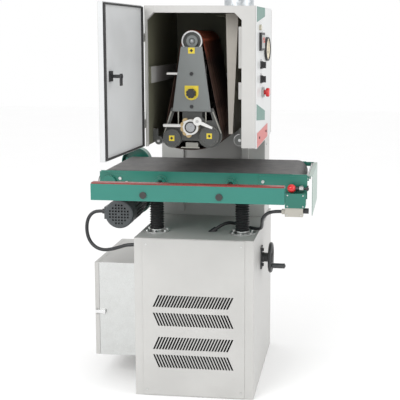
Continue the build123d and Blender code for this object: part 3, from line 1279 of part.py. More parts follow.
save("outboard_rail", *outboard_rail())
save("rail_knob_left", rail_knob(ROD_XS[0]))
save("rail_knob_right", rail_knob(ROD_XS[1]))
save("motor_conduit", conduit(MOTOR_ROUTE, CONDUIT_R, "motor conduit"))
save("table_conduit", conduit(TABLE_ROUTE, CONDUIT_THIN_R, "table conduit"))
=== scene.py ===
"""Open-ended wide-belt sander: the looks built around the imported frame. All lengths are in metres."""

import math

import bmesh
import bpy
from mathutils import Matrix, Vector


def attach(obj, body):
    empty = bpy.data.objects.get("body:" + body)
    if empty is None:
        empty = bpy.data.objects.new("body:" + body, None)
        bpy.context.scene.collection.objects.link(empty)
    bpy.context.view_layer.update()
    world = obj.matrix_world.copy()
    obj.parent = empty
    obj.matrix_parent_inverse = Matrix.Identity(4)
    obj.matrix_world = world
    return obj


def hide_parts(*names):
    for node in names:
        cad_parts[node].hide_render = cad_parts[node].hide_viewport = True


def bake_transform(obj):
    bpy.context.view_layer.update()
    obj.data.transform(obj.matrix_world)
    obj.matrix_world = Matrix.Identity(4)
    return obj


bpy.ops.wm.read_factory_settings(use_empty=True)
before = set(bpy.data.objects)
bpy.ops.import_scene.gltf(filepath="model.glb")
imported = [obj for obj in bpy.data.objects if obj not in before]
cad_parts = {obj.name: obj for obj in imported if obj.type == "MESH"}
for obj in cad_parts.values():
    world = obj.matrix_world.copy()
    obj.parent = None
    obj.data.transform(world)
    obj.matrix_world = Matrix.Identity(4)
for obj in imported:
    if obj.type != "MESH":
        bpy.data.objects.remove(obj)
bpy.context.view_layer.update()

# ---- Cabinet ----
# Folded sheet-steel cabinet and column, powder coated in a warm light grey.
# The coat has a fine orange peel, drifts a little in tone, and is thin on the folded edges.
CABINET_GREY = (0.50, 0.495, 0.48)
DUST_COLOUR = (0.62, 0.55, 0.44)


def place(tree, kind, inputs=None, **settings):
    """Adds a node; inputs are values or sockets, by name or number."""
    made = tree.nodes.new(kind)
    for name, value in settings.items():
        setattr(made, name, value)
    for socket, value in (inputs or {}).items():
        if isinstance(value, bpy.types.NodeSocket):
            tree.links.new(value, made.inputs[socket])
        else:
            made.inputs[socket].default_value = value
    return made


def new_effect(name, inputs, outputs):
    """An empty shader group with float inputs, and its input and output nodes."""
    effect = bpy.data.node_groups.new(name, "ShaderNodeTree")
    for socket, value in inputs.items():
        made = effect.interface.new_socket(name=socket, in_out="INPUT", socket_type="NodeSocketFloat")
        made.default_value = value
    for socket, kind in outputs.items():
        effect.interface.new_socket(name=socket, in_out="OUTPUT", socket_type=kind)
    return effect, place(effect, "NodeGroupInput"), place(effect, "NodeGroupOutput")


def span(tree, value, low, high, to_low, to_high):
    """The value mapped from one range to another, held at its ends."""
    limits = {"Value": value, "From Min": low, "From Max": high, "To Min": to_low, "To Max": to_high}
    return place(tree, "ShaderNodeMapRange", limits).outputs["Result"]


def times(tree, first, second):
    return place(tree, "ShaderNodeMath", {0: first, 1: second}, operation="MULTIPLY").outputs[0]


def blend_colour(tree, share, first, second):
    inputs = {0: share, 6: first, 7: second}
    return place(tree, "ShaderNodeMix", inputs, data_type="RGBA").outputs[2]


def noise(tree, scale, detail=3.0, vector=None):
    if vector is None:
        vector = place(tree, "ShaderNodeTexCoord").outputs["Object"]
    inputs = {"Vector": vector, "Scale": scale, "Detail": detail}
    return place(tree, "ShaderNodeTexNoise", inputs).outputs["Fac"]


skin, skin_in, skin_out = new_effect(
    "sprayed_skin", {"Peel": 700.0, "Drift": 5.0}, {"Height": "NodeSocketFloat", "Tone": "NodeSocketFloat"}
)
skin.links.new(noise(skin, skin_in.outputs["Peel"], 1.0), skin_out.inputs["Height"])
skin.links.new(noise(skin, skin_in.outputs["Drift"], 4.0), skin_out.inputs["Tone"])

worn, worn_in, worn_out = new_effect(
    "edge_mask", {"Width": 0.0015, "Breaks": 60.0}, {"Mask": "NodeSocketFloat", "Normal": "NodeSocketVector"}
)
rounded = place(worn, "ShaderNodeBevel", {"Radius": worn_in.outputs["Width"]}, samples=4)
flat = place(worn, "ShaderNodeNewGeometry")
normals = {0: rounded.outputs["Normal"], 1: flat.outputs["Normal"]}
cosine = place(worn, "ShaderNodeVectorMath", normals, operation="DOT_PRODUCT")
turned = span(worn, cosine.outputs["Value"], 0.99, 0.80, 0.0, 1.0)
patchy = span(worn, noise(worn, worn_in.outputs["Breaks"], 5.0), 0.38, 0.62, 0.25, 1.0)
worn.links.new(times(worn, turned, patchy), worn_out.inputs["Mask"])
worn.links.new(rounded.outputs["Normal"], worn_out.inputs["Normal"])

dust, dust_in, dust_out = new_effect("settled_dust", {"Amount": 0.2}, {"Mask": "NodeSocketFloat"})
facing = place(dust, "ShaderNodeSeparateXYZ", {0: place(dust, "ShaderNodeNewGeometry").outputs["Normal"]})
level = span(dust, facing.outputs["Z"], 0.45, 0.95, 0.0, 1.0)
drifts = span(dust, noise(dust, 22.0, 7.0), 0.42, 0.66, 0.1, 1.0)
dust.links.new(times(dust, times(dust, level, drifts), dust_in.outputs["Amount"]), dust_out.inputs["Mask"])


def new_finish(name, roughness, metallic=0.0, coat=0.0, specular=0.5):
    """An empty finish: the material, its tree and its Principled shader."""
    finish = bpy.data.materials.new(name)
    finish.use_nodes = True
    tree = finish.node_tree
    shader = tree.nodes["Principled BSDF"]
    shader.inputs["Roughness"].default_value = roughness
    shader.inputs["Metallic"].default_value = metallic
    shader.inputs["Coat Weight"].default_value = coat
    shader.inputs["Coat Roughness"].default_value = 0.12
    shader.inputs["Specular IOR Level"].default_value = specular
    return finish, tree, shader


def roughen(tree, shader, share, low, high, smooth, rough):
    """Lets the share, mapped from low and high, move the finish between smooth and rough."""
    tree.links.new(span(tree, share, low, high, smooth, rough), shader.inputs["Roughness"])


def emboss(tree, shader, height, strength, depth, normal=None):
    """Bumps the finish by the height, over the rounded normal of its edges where one is given."""
    relief = {"Height": height, "Strength": strength, "Distance": depth}
    if normal is not None:
        relief["Normal"] = normal
    tree.links.new(place(tree, "ShaderNodeBump", relief).outputs["Normal"], shader.inputs["Normal"])


def enamel(
    name, colour, roughness=0.4, worn_to=None, dusty=0.15, peel=700.0, depth=0.00006, wear=0.35, coat=0.0
):
    """Sprayed paint over metal, lighter on its edges, partly where the paint thins and partly as a painted
    highlight, with a little dust on what lies level.
    """
    finish, tree, shader = new_finish(name, roughness, coat=coat)
    coat_skin = place(tree, "ShaderNodeGroup", {"Peel": peel, "Drift": 5.0}, node_tree=skin)
    edge = place(tree, "ShaderNodeGroup", {"Width": 0.0016, "Breaks": 60.0}, node_tree=worn)
    settled = place(tree, "ShaderNodeGroup", {"Amount": dusty}, node_tree=dust)
    deep = tuple(channel * 0.955 for channel in colour) + (1,)
    bright = tuple(min(1.0, channel * 1.03) for channel in colour) + (1,)
    tone = span(tree, coat_skin.outputs["Tone"], 0.35, 0.65, 0.0, 1.0)
    paint = blend_colour(tree, tone, deep, bright)
    edge_wear_and_highlight = tuple(worn_to or (min(1.0, channel * 1.6 + 0.04) for channel in colour)) + (1,)
    rubbed = blend_colour(tree, times(tree, edge.outputs["Mask"], wear), paint, edge_wear_and_highlight)
    dusted = blend_colour(tree, settled.outputs["Mask"], rubbed, DUST_COLOUR + (1,))
    tree.links.new(dusted, shader.inputs["Base Color"])
    uneven = span(tree, coat_skin.outputs["Tone"], 0.3, 0.7, roughness - 0.05, roughness + 0.07)
    powdered = {0: settled.outputs["Mask"], 1: 0.4, 2: uneven}
    dull = place(tree, "ShaderNodeMath", powdered, operation="MULTIPLY_ADD")
    tree.links.new(dull.outputs[0], shader.inputs["Roughness"])
    emboss(tree, shader, coat_skin.outputs["Height"], 0.5, depth, edge.outputs["Normal"])
    return finish


def dress(node, *finishes, where=None):
    """Gives a CAD node its finishes; where(centre, normal) says which one a face takes."""
    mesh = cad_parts[node].data
    mesh.materials.clear()
    for finish in finishes:
        mesh.materials.append(finish)
    for face in mesh.polygons:
        face.material_index = int(where(face.center, face.normal)) if where else 0


cabinet_grey = enamel("cabinet_grey", CABINET_GREY, 0.42, worn_to=(0.66, 0.655, 0.64), dusty=0.06)
# Painted shade: the inside faces of the cabinet take a dark grey that stands in for the shade within, with a
# little dust on what lies level.
cabinet_inside_painted_shade = enamel("cabinet_inside_painted_shade", (0.22, 0.22, 0.21), 0.6, dusty=0.3)
WALL_INSIDE_X, WALL_INSIDE_Y, TOP_INSIDE_Z = 0.2485, 0.3455, 0.6765
dress("base_cabinet", cabinet_grey, cabinet_inside_painted_shade, where=lambda at, facing: (
    abs(at.x) < WALL_INSIDE_X and abs(at.y) < WALL_INSIDE_Y and at.z < TOP_INSIDE_Z
))
dress("base_louvre_panel", cabinet_grey)
dress("column", cabinet_grey)

# ---- Electrical box ----
# Sheet-steel box on the outfeed wall with a lift-off door and a plated over-centre latch.
# Inside, contactors clip to two rails on a zinc-plated back plate.


def machined(name, colour, roughness, brush, depth=0.00002, stain=0.12, wear=0.3):
    """Turned or drawn metal: fine tool lines across the brush directions, a few stains, bright edges."""
    finish, tree, shader = new_finish(name, roughness, metallic=1.0)
    here = place(tree, "ShaderNodeTexCoord").outputs["Object"]
    drawn = place(tree, "ShaderNodeMapping", {"Vector": here, "Scale": brush}).outputs["Vector"]
    lines = noise(tree, 1.0, 2.0, drawn)
    edge = place(tree, "ShaderNodeGroup", {"Width": 0.001, "Breaks": 90.0}, node_tree=worn)
    clouds = span(tree, noise(tree, 30.0, 5.0), 0.4, 0.7, 0.0, stain)
    low = tuple(channel * 0.82 for channel in colour) + (1,)
    metal = blend_colour(tree, lines, low, colour + (1,))
    stained = blend_colour(tree, clouds, metal, (0.20, 0.17, 0.13, 1))
    bright = tuple(min(1.0, channel * 1.35) for channel in colour) + (1,)
    rubbed = blend_colour(tree, times(tree, edge.outputs["Mask"], wear), stained, bright)
    tree.links.new(rubbed, shader.inputs["Base Color"])
    roughen(tree, shader, lines, 0.3, 0.7, roughness - 0.07, roughness + 0.10)
    emboss(tree, shader, lines, 0.4, depth, edge.outputs["Normal"])
    return finish


def moulded(name, colour, roughness=0.5, grain=1500.0, depth=0.00004, bloom=0.10, coat=0.0):
    """Rubber or plastic straight from the mould: fine grain, a pale bloom in places, soft edges."""
    finish, tree, shader = new_finish(name, roughness, coat=coat)
    edge = place(tree, "ShaderNodeGroup", {"Width": 0.0012, "Breaks": 80.0}, node_tree=worn)
    pale = tuple(channel * 0.7 + 0.10 for channel in colour) + (1,)
    share = span(tree, noise(tree, 35.0, 5.0), 0.45, 0.75, 0.0, bloom)
    body = blend_colour(tree, share, colour + (1,), pale)
    rubbed = blend_colour(tree, times(tree, edge.outputs["Mask"], 0.25), body, pale)
    tree.links.new(rubbed, shader.inputs["Base Color"])
    roughen(tree, shader, noise(tree, 60.0, 4.0), 0.3, 0.7, roughness - 0.06, roughness + 0.08)
    emboss(tree, shader, noise(tree, grain, 2.0), 0.5, depth, edge.outputs["Normal"])
    return finish


zinc_plate = machined("zinc_plate", (0.66, 0.67, 0.66), 0.34, (180, 180, 180), stain=0.06)
black_plastic = moulded("black_plastic", (0.022, 0.022, 0.024), 0.42)
pale_plastic = moulded("pale_plastic", (0.55, 0.56, 0.55), 0.45)
BOX_RIM_X, BOX_MIDDLE_Y, BOX_HALF_WIDE = -0.4485, 0.0365, 0.2225
BOX_INSIDE_LOW, BOX_INSIDE_HIGH = 0.1095, 0.5235
BACK_PLATE_X, CONTACTOR_X = -0.2625, -0.3315
KEEPER_Y = -0.1868


def box_part(at, facing):
    level = BOX_INSIDE_LOW < at.z < BOX_INSIDE_HIGH
    inside = at.x > BOX_RIM_X and abs(at.y - BOX_MIDDLE_Y) < BOX_HALF_WIDE and level
    if at.y < KEEPER_Y:
        return 1
    if inside and at.x > CONTACTOR_X:
        return 1 if at.x > BACK_PLATE_X else 2
    return 0


dress("electrical_box", cabinet_grey, zinc_plate, pale_plastic, where=box_part)
dress("box_door", cabinet_grey)
dress("box_latch", machined("bright_latch", (0.80, 0.80, 0.80), 0.16, (60, 60, 400), stain=0.0))

# ---- Fasteners on the cabinet ----
# Zinc-plated screws, the bolted flanges under the bellows, and the bracket of the handwheel.
# The bracket is cast, in black enamel.
CAST_SKIN = {"peel": 420.0, "depth": 0.00012}
cast_black = enamel(
    "cast_black", (0.028, 0.029, 0.031), 0.38, worn_to=(0.16, 0.16, 0.16), dusty=0.06, **CAST_SKIN
)
dress("base_fasteners", zinc_plate, cast_black, where=lambda at, facing: (
    at.x > 0.2495 and at.z < 0.6
))

# ---- Main drive in the cabinet ----
# Finned motor on a bed, with its grooved pulley and V-belts up to the drum.
# It stands behind the louvres of the cabinet.
motor_grey = enamel("motor_grey", (0.055, 0.062, 0.066), 0.40, worn_to=(0.2, 0.2, 0.2), **CAST_SKIN)
turned_steel = machined("turned_steel", (0.60, 0.60, 0.60), 0.28, (25, 900, 25))
drive_rubber = moulded("drive_rubber", (0.018, 0.018, 0.018), 0.62, grain=900.0, depth=0.00008, bloom=0.2)
dress("main_motor", motor_grey)
dress("motor_pulley", turned_steel)
dress("v_belts", drive_rubber)

# ---- Lift screws, nuts and chain ----
# Two rolled screws carry the table, each in its own nut.
# A roller chain in the cabinet turns both nuts together.
oiled_steel = machined("oiled_steel", (0.30, 0.29, 0.28), 0.30, (120, 120, 700), stain=0.3)
for node in ("lift_nut_left", "lift_nut_right", "lift_chain", "lift_screws"):
    dress(node, oiled_steel)

# ---- Bellows ----
# Black rubber bellows over each lift screw, with sharp pleats and a plated band clamp at each end.
# The foot is clamped to the cabinet flange and the head to the table.
BELLOWS_X = 0.184
BELLOWS_Y = -0.207
BELLOWS_FOOT = 0.6836
BELLOWS_HEAD = 0.8379
PLEATS = 13
PLEAT_OUT = 0.0308
PLEAT_IN = 0.0248


def finished_piece(name, shape, *finishes, smooth=None):
    """The object made from a bmesh, at the origin, with its finishes; smooth is a crease angle in degrees."""
    mesh = bpy.data.meshes.new(name)
    shape.to_mesh(mesh)
    shape.free()
    for finish in finishes:
        mesh.materials.append(finish)
    piece = bpy.data.objects.new(name, mesh)
    bpy.context.scene.collection.objects.link(piece)
    if smooth is not None:
        for face in mesh.polygons:
            face.use_smooth = True
        mesh.set_sharp_from_angle(angle=math.radians(smooth))
    return piece


def spun(profile, centre, axis, steps=48):
    """A closed turned shape: the profile's (radius, height) points spun round the axis through centre."""
    shape = bmesh.new()
    across = Vector((1, 0, 0)) if abs(axis[0]) < 0.5 else Vector((0, 1, 0))
    middle, along = Vector(centre), Vector(axis)
    points = [shape.verts.new(middle + across * r + along * h) for r, h in profile]
    edges = [shape.edges.new(pair) for pair in zip(points, points[1:])]
    bmesh.ops.spin(
        shape, geom=points + edges, cent=middle, axis=along, angle=math.tau, steps=steps, use_merge=True
    )
    bmesh.ops.remove_doubles(shape, verts=shape.verts, dist=1e-6)
    bmesh.ops.recalc_face_normals(shape, faces=shape.faces)
    return shape


def stub(at, radius, depth, tip=None, segments=20, turned_about="X"):
    """A short round stub, narrowing to its tip: along Y, or along X when it is turned about Y."""
    shape = bmesh.new()
    lie = Matrix.Translation(at) @ Matrix.Rotation(math.pi / 2, 4, turned_about)
    ends = {"radius1": radius, "radius2": radius if tip is None else tip, "depth": depth}
    bmesh.ops.create_cone(shape, cap_ends=True, segments=segments, matrix=lie, **ends)
    return shape


def merged(*shapes):
    """Several bmesh shapes as one."""
    whole = bmesh.new()
    for shape in shapes:
        carrier = bpy.data.meshes.new("carrier")
        shape.to_mesh(carrier)
        shape.free()
        whole.from_mesh(carrier)
        bpy.data.meshes.remove(carrier)
    return whole


pitch = (BELLOWS_HEAD - BELLOWS_FOOT - 0.016) / PLEATS
pleated = [(0.0195, 0.0), (0.0285, 0.0), (0.0285, 0.008)]
for pleat in range(PLEATS):
    start = 0.008 + pleat * pitch
    pleated += [(PLEAT_IN, start + pitch * 0.10), (PLEAT_OUT - 0.0006, start + pitch * 0.45)]
    pleated += [(PLEAT_OUT, start + pitch * 0.52), (PLEAT_OUT - 0.0006, start + pitch * 0.60)]
pleated += [(0.0285, BELLOWS_HEAD - BELLOWS_FOOT - 0.008), (0.0285, BELLOWS_HEAD - BELLOWS_FOOT)]
pleated += [(0.0195, BELLOWS_HEAD - BELLOWS_FOOT), (0.0195, 0.0)]
pleat_rubber = moulded("pleat_rubber", (0.014, 0.014, 0.015), 0.50, grain=800.0, depth=0.00008, bloom=0.10)
sleeves = [spun(pleated, (side * BELLOWS_X, BELLOWS_Y, BELLOWS_FOOT), (0, 0, 1), 56) for side in (-1, 1)]
bellows = finished_piece("bellows_rubber", merged(*sleeves), pleat_rubber, smooth=50)
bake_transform(bellows)
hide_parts("lift_bellows")

band = [(0.0287, 0.0), (0.0300, 0.0004), (0.0300, 0.0066), (0.0287, 0.007), (0.0287, 0.0)]
for body, height in (("base", BELLOWS_FOOT + 0.0006), ("table", BELLOWS_HEAD - 0.0076)):
    rings = []
    for side in (-1, 1):
        rings.append(spun(band, (side * BELLOWS_X, BELLOWS_Y, height), (0, 0, 1), 40))
        screw_at = (side * BELLOWS_X, BELLOWS_Y - 0.0325, height + 0.0035)
        rings.append(stub(screw_at, 0.0032, 0.014, segments=16, turned_about="Y"))
    clamps = finished_piece(body + "_bellows_clamps", merged(*rings), zinc_plate, smooth=35)
    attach(clamps, body)

# ---- Handwheel ----
# Cast wheel in black enamel on a steel shaft; its moulded grip turns on a crank pin.
WHEEL_BACK_X = 0.2635
dress("handwheel", cast_black, turned_steel, where=lambda at, facing: at.x < WHEEL_BACK_X)
dress("handwheel_grip", moulded("grip_plastic", (0.05, 0.052, 0.055), 0.38))

# ---- Housing and dust hood ----
# Welded sheet housing on the column: pale outside and on the door jamb; the dark olive within is painted
# shade.
# The extraction duct widens up beside the head to a galvanised port on the roof.
HOUSING_LOW = Vector((-0.166, -0.467, 1.075))
HOUSING_HIGH = Vector((0.268, 0.144, 1.622))
# Painted shade: the dark olive on the inner faces of the housing and the hood's mouth stands in for the shade
# inside them.
olive_painted_shade = enamel("olive_painted_shade", (0.150, 0.150, 0.105), 0.55, worn_to=(0.3, 0.3, 0.26), dusty=0.25)
duct_taupe = enamel("duct_taupe", (0.44, 0.41, 0.365), 0.45, dusty=0.1)


def housing_part(at, facing):
    inward = HOUSING_LOW.x + 0.001 < at.x < HOUSING_HIGH.x - 0.001 and at.y > HOUSING_LOW.y + 0.0015
    if not inward or at.z > HOUSING_HIGH.z - 0.001:
        return 0
    jamb = at.y < HOUSING_LOW.y + 0.0275 and at.x > -0.16
    return 0 if jamb or 1.32 < at.z < 1.385 and at.x < -0.153 and facing.x > 0.5 else 1


dress("housing_shell", cabinet_grey, olive_painted_shade, where=housing_part)
HOOD_MOUTH_X = 0.1305
dress("dust_hood", duct_taupe, olive_painted_shade, where=lambda at, facing: at.x < HOOD_MOUTH_X)
galvanised, tree, shader = new_finish("galvanised", 0.38, metallic=1.0)
cells = place(tree, "ShaderNodeTexVoronoi", {
    "Vector": place(tree, "ShaderNodeTexCoord").outputs["Object"], "Scale": 90.0, "Randomness": 1.0,
})
spangle = place(tree, "ShaderNodeSeparateXYZ", {0: cells.outputs["Color"]}).outputs["X"]
zinc = blend_colour(tree, spangle, (0.42, 0.45, 0.47, 1), (0.66, 0.69, 0.71, 1))
tree.links.new(zinc, shader.inputs["Base Color"])
roughen(tree, shader, spangle, 0.0, 1.0, 0.28, 0.50)
dress("dust_port", galvanised)

# ---- Port seam ----
# The galvanised spigot is rolled from strip.
# A raised bead near its mouth stops the hose clamp from sliding off.
PORT = Vector((0.150, -0.074, 1.622))
PORT_WALL, BEAD_UP = 0.0624, 0.041
BEAD_PROUD, BEAD_HALF_HIGH = 0.0022, 0.0035
bead = []
for step in range(9):
    turn = math.radians(-90 + step * 22.5)
    bead.append((PORT_WALL + BEAD_PROUD * math.cos(turn), BEAD_UP + BEAD_HALF_HIGH * math.sin(turn)))
bead.append(bead[0])
port_bead = finished_piece("port_bead", spun(bead, PORT, (0, 0, 1), 72), galvanised, smooth=60)
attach(port_bead, "base")

# ---- Sanding head frame ----
# Cast lower frame and welded yoke in mid grey hammer paint, with steel shafts and tension cylinders between.
# Raised pale ribs stand on the front of the lower casting.
HAMMER_PEEL = 380.0
# The strong light edges of head_grey and casting_dark are mostly a painted highlight along the edges, with
# some real wear.
head_grey = enamel(
    "head_grey", (0.20, 0.215, 0.212), 0.42, worn_to=(0.55, 0.55, 0.52),
    peel=HAMMER_PEEL, depth=0.00016, wear=0.75,
)
casting_dark = enamel(
    "casting_dark", (0.085, 0.088, 0.084), 0.50, worn_to=(0.42, 0.41, 0.36),
    peel=HAMMER_PEEL, depth=0.0002, wear=0.8,
)
rim_beige = enamel(
    "rim_beige", (0.40, 0.395, 0.35), 0.45, worn_to=(0.6, 0.6, 0.55),
    peel=HAMMER_PEEL, depth=0.0001,
)
white_enamel = enamel("white_enamel", (0.80, 0.80, 0.78), 0.32, dusty=0.04)
FRAME_FACE_Y = -0.3576
FRAME_TOP_Z = 1.222
SHAFT_X, SHAFT_Z = 0.0, 1.146
COLLAR_FACE_Y, COLLAR_REACH = -0.3681, 0.0335


def frame_part(at, facing):
    from_shaft = Vector((at.x - SHAFT_X, at.z - SHAFT_Z)).length
    if at.y < COLLAR_FACE_Y and from_shaft < COLLAR_REACH:
        return 2
    if at.y < -0.3577 and at.z > 1.16:
        return 3
    if abs(at.y) < 0.3455 and at.y < 0.065 and at.z > 1.2165:
        return 3
    return 1 if at.z < FRAME_TOP_Z and (at.y < -0.345 or at.y > 0.077) else 0


dress("head_frame", head_grey, casting_dark, white_enamel, turned_steel, where=frame_part)

rib_lines = (
    ((-0.0845, 1.206), (-0.1175, 1.108)), ((0.0845, 1.206), (0.1180, 1.120)),
    ((-0.0560, 1.150), (-0.0560, 1.206)), ((0.0560, 1.162), (0.0560, 1.206)),
    ((-0.0460, 1.0600), (0.0300, 1.0600)),
)
RIB_WIDE, RIB_PROUD = 0.0046, 0.0050
ribs = bmesh.new()
for (x1, z1), (x2, z2) in rib_lines:
    lean = Matrix.Rotation(math.atan2(x2 - x1, z2 - z1), 4, "Y")
    size = Matrix.Diagonal((RIB_WIDE, RIB_PROUD, math.hypot(x2 - x1, z2 - z1), 1))
    middle = Matrix.Translation(((x1 + x2) / 2, FRAME_FACE_Y - RIB_PROUD / 2 - 0.0001, (z1 + z2) / 2))
    bar = bmesh.new()
    bmesh.ops.create_cube(bar, size=1.0, matrix=middle @ lean @ size)
    rounding = {"offset": 0.0008, "segments": 2, "profile": 0.5, "affect": "EDGES", "material": -1}
    bmesh.ops.bevel(bar, geom=list(bar.edges), **rounding)
    ribs = merged(ribs, bar)
frame_ribs = finished_piece("frame_ribs", ribs, rim_beige, smooth=40)
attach(frame_ribs, "base")

# ---- Support shaft end ----
# The hardened shaft that carries the head ends in a faced disc inside a groove, drawn as a thin near-black
# ring of painted shade.
SHAFT_FACE = (SHAFT_X, -0.4001, SHAFT_Z)
groove = [(0.0185, 0.0), (0.0190, 0.0004), (0.0228, 0.0004), (0.0232, 0.0), (0.0185, 0.0)]
disc = [(0.0, 0.0), (0.0, 0.0016), (0.0176, 0.0014), (0.0184, 0.0006), (0.0184, 0.0), (0.0, 0.0)]
faced_steel = machined("faced_steel", (0.42, 0.43, 0.44), 0.30, (300, 300, 300), stain=0.05)
# Painted shade: a near-black finish laid on thin rings where grooves lie, in place of their shadow.
painted_groove_shade = moulded("painted_groove_shade", (0.03, 0.029, 0.027), 0.35, grain=500.0)
for name, profile, finish, slot_name in (
    ("shaft_end_groove", groove, painted_groove_shade, "cast_grey"), ("shaft_end_disc", disc, faced_steel, "steel"),
):
    piece = finished_piece(name, spun(profile, SHAFT_FACE, (0, -1, 0), 56), finish, smooth=40)
    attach(piece, "base")

# ---- Bearing caps and plates ----
# Turned caps over the roller bearings, each with a small blank yellow plate; the same plate sits on the yoke.
# The plates are screen-printed aluminium with a plain dark diamond, glued on.
plate_yellow = enamel("plate_yellow", (0.80, 0.62, 0.03), 0.30, worn_to=(0.9, 0.8, 0.3), dusty=0.0, coat=0.3)
mark_black = moulded("mark_black", (0.02, 0.02, 0.02), 0.4)
DRUM = Vector((0.071, 0, 1.109))
GUIDE = Vector((-0.082, 0, 1.098))
CAP_FACE_Y = -0.3696


def bearing_part(at, facing):
    nearest = min(abs(at.x - centre.x) + abs(at.z - centre.z) for centre in (DRUM, GUIDE))
    if at.y < CAP_FACE_Y - 0.00005 and nearest < 0.023:
        return 1
    return 2 if at.y > 0.085 else 0


dress("roller_bearings", casting_dark, plate_yellow, turned_steel, where=bearing_part)


def small_plate(x, z, y_back, width, height, thick):
    """A plate with rounded corners, standing off a face that looks along -Y."""
    shape = bmesh.new()
    size = Matrix.Translation((x, y_back - thick / 2, z)) @ Matrix.Diagonal((width, thick, height, 1))
    bmesh.ops.create_cube(shape, size=1.0, matrix=size)
    upright = [edge for edge in shape.edges if abs((edge.verts[0].co - edge.verts[1].co).y) > thick / 2]
    bmesh.ops.bevel(shape, geom=upright, offset=0.0014, segments=3, profile=0.5, affect="EDGES", material=-1)
    return shape


def diamond(x, z, y_back, reach):
    """A thin printed diamond on a face that looks along -Y."""
    return stub((x, y_back - 0.0002, z), reach, 0.0004, segments=4)


marks = finished_piece("bearing_plate_marks", merged(
    *[diamond(centre.x, centre.z, CAP_FACE_Y - 0.001, 0.0065) for centre in (DRUM, GUIDE)]
), mark_black)
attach(marks, "base")
YOKE_FACE_Y = -0.368
YOKE_PLATE_Z = 1.449
plate_shape = small_plate(0.0, YOKE_PLATE_Z, YOKE_FACE_Y, 0.027, 0.024, 0.001)
mark_shape = diamond(0.0, YOKE_PLATE_Z, YOKE_FACE_Y - 0.001, 0.0070)
yoke_plate = finished_piece("yoke_plate", plate_shape, plate_yellow)
yoke_mark = finished_piece("yoke_plate_mark", mark_shape, mark_black)
for piece, slot_name in ((yoke_plate, "gold_cast"), (yoke_mark, "black_plastic")):
    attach(piece, "upper_yoke")

RIM_PROUD = 0.0009
cap_rims = []
for centre, reach in ((DRUM, 0.0415), (GUIDE, 0.0365)):
    steps_out = ((0.004, 0.0), (0.0035, RIM_PROUD), (0.0012, RIM_PROUD), (0.0006, 0.0), (0.004, 0.0))
    ring = [(reach - inset, height) for inset, height in steps_out]
    cap_rims.append(spun(ring, (centre.x, CAP_FACE_Y + 0.0001, centre.z), (0, -1, 0), 56))
    screw_circle = reach - 0.010
    for spoke in range(4):
        turn = math.radians(45 + 90 * spoke)
        across, up = centre.x + screw_circle * math.cos(turn), centre.z + screw_circle * math.sin(turn)
        cap_rims.append(stub((across, CAP_FACE_Y - 0.0012, up), 0.0034, 0.0024, tip=0.0028, segments=18))
rims = finished_piece("bearing_cap_rims", merged(*cap_rims), casting_dark, smooth=40)
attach(rims, "base")

# ---- Yoke, knob and levers ----
# The yoke rides up on two cylinders to tighten the belt; its black knob sits on a yellow seat.
# A tan cast hand nut with a white arm clamps the head, and a white lever turns the platen cam.
KNOB_SEAT_Z = 1.281


def yoke_part(at, facing):
    in_front = at.y < YOKE_FACE_Y - 0.00005
    by_the_seat = abs(at.x) < 0.0285 and abs(at.z - KNOB_SEAT_Z) < 0.0295
    if in_front and by_the_seat and at.y > YOKE_FACE_Y - 0.0021:
        return 1
    if in_front:
        return 2
    if at.x < -0.0495 and abs(at.z - 1.357) < 0.006:
        return 3
    if abs(at.x) < 0.021 and abs(at.y + 0.18) < 0.17 and at.z < 1.3895:
        return 4
    return 0


dress("upper_yoke", head_grey, plate_yellow, black_plastic, white_enamel, turned_steel, where=yoke_part)
dress("tension_knob", black_plastic)
tan_cast = enamel("tan_cast", (0.55, 0.40, 0.20), 0.38, worn_to=(0.80, 0.66, 0.42), peel=420.0, depth=0.0001)
dress("clamp_lever", tan_cast, white_enamel, where=lambda at, facing: (
    Vector((at.x, at.z - SHAFT_Z)).length < 0.0306 or at.x < -0.0455 and abs(at.z - 1.150) < 0.0068
))
dress("platen_cam_lever", white_enamel)

# ---- Rollers and contact drum ----
# Rubber-faced contact drum, and guide and top rollers turned from steel.
# The top roller is hollow in front.
TOP_ROLLER_HUB = (0, -0.3551, 1.486)
drum_rubber = moulded("drum_rubber", (0.035, 0.035, 0.034), 0.6, grain=600.0, depth=0.0001)
dress("contact_drum", drum_rubber, turned_steel, where=lambda at, facing: at.y > 0.0665 or at.y < -0.3445)
dress("guide_roller", turned_steel)
dress("top_roller", turned_steel, casting_dark, where=lambda at, facing: (
    at.y < -0.3450 and Vector((at.x, at.z - TOP_ROLLER_HUB[2])).length < 0.0362
))
hub = [(0.0, 0.0), (0.0, 0.0030), (0.0052, 0.0026), (0.0058, 0.0), (0.0, 0.0)]
nut_shape = spun(hub, TOP_ROLLER_HUB, (0, -1, 0), 24)
hub_nut = finished_piece("top_roller_centre", nut_shape, faced_steel, smooth=40)
# The collar ring round the hub is painted groove shade.
collar = [(0.0098, 0.0), (0.0102, 0.0008), (0.0122, 0.0008), (0.0126, 0.0), (0.0098, 0.0)]
ring_shape = spun(collar, TOP_ROLLER_HUB, (0, -1, 0), 40)
hub_ring = finished_piece("top_roller_ring", ring_shape, painted_groove_shade, smooth=40)
for piece, slot_name in ((hub_nut, "steel"), (hub_ring, "cast_grey")):
    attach(piece, "upper_yoke")

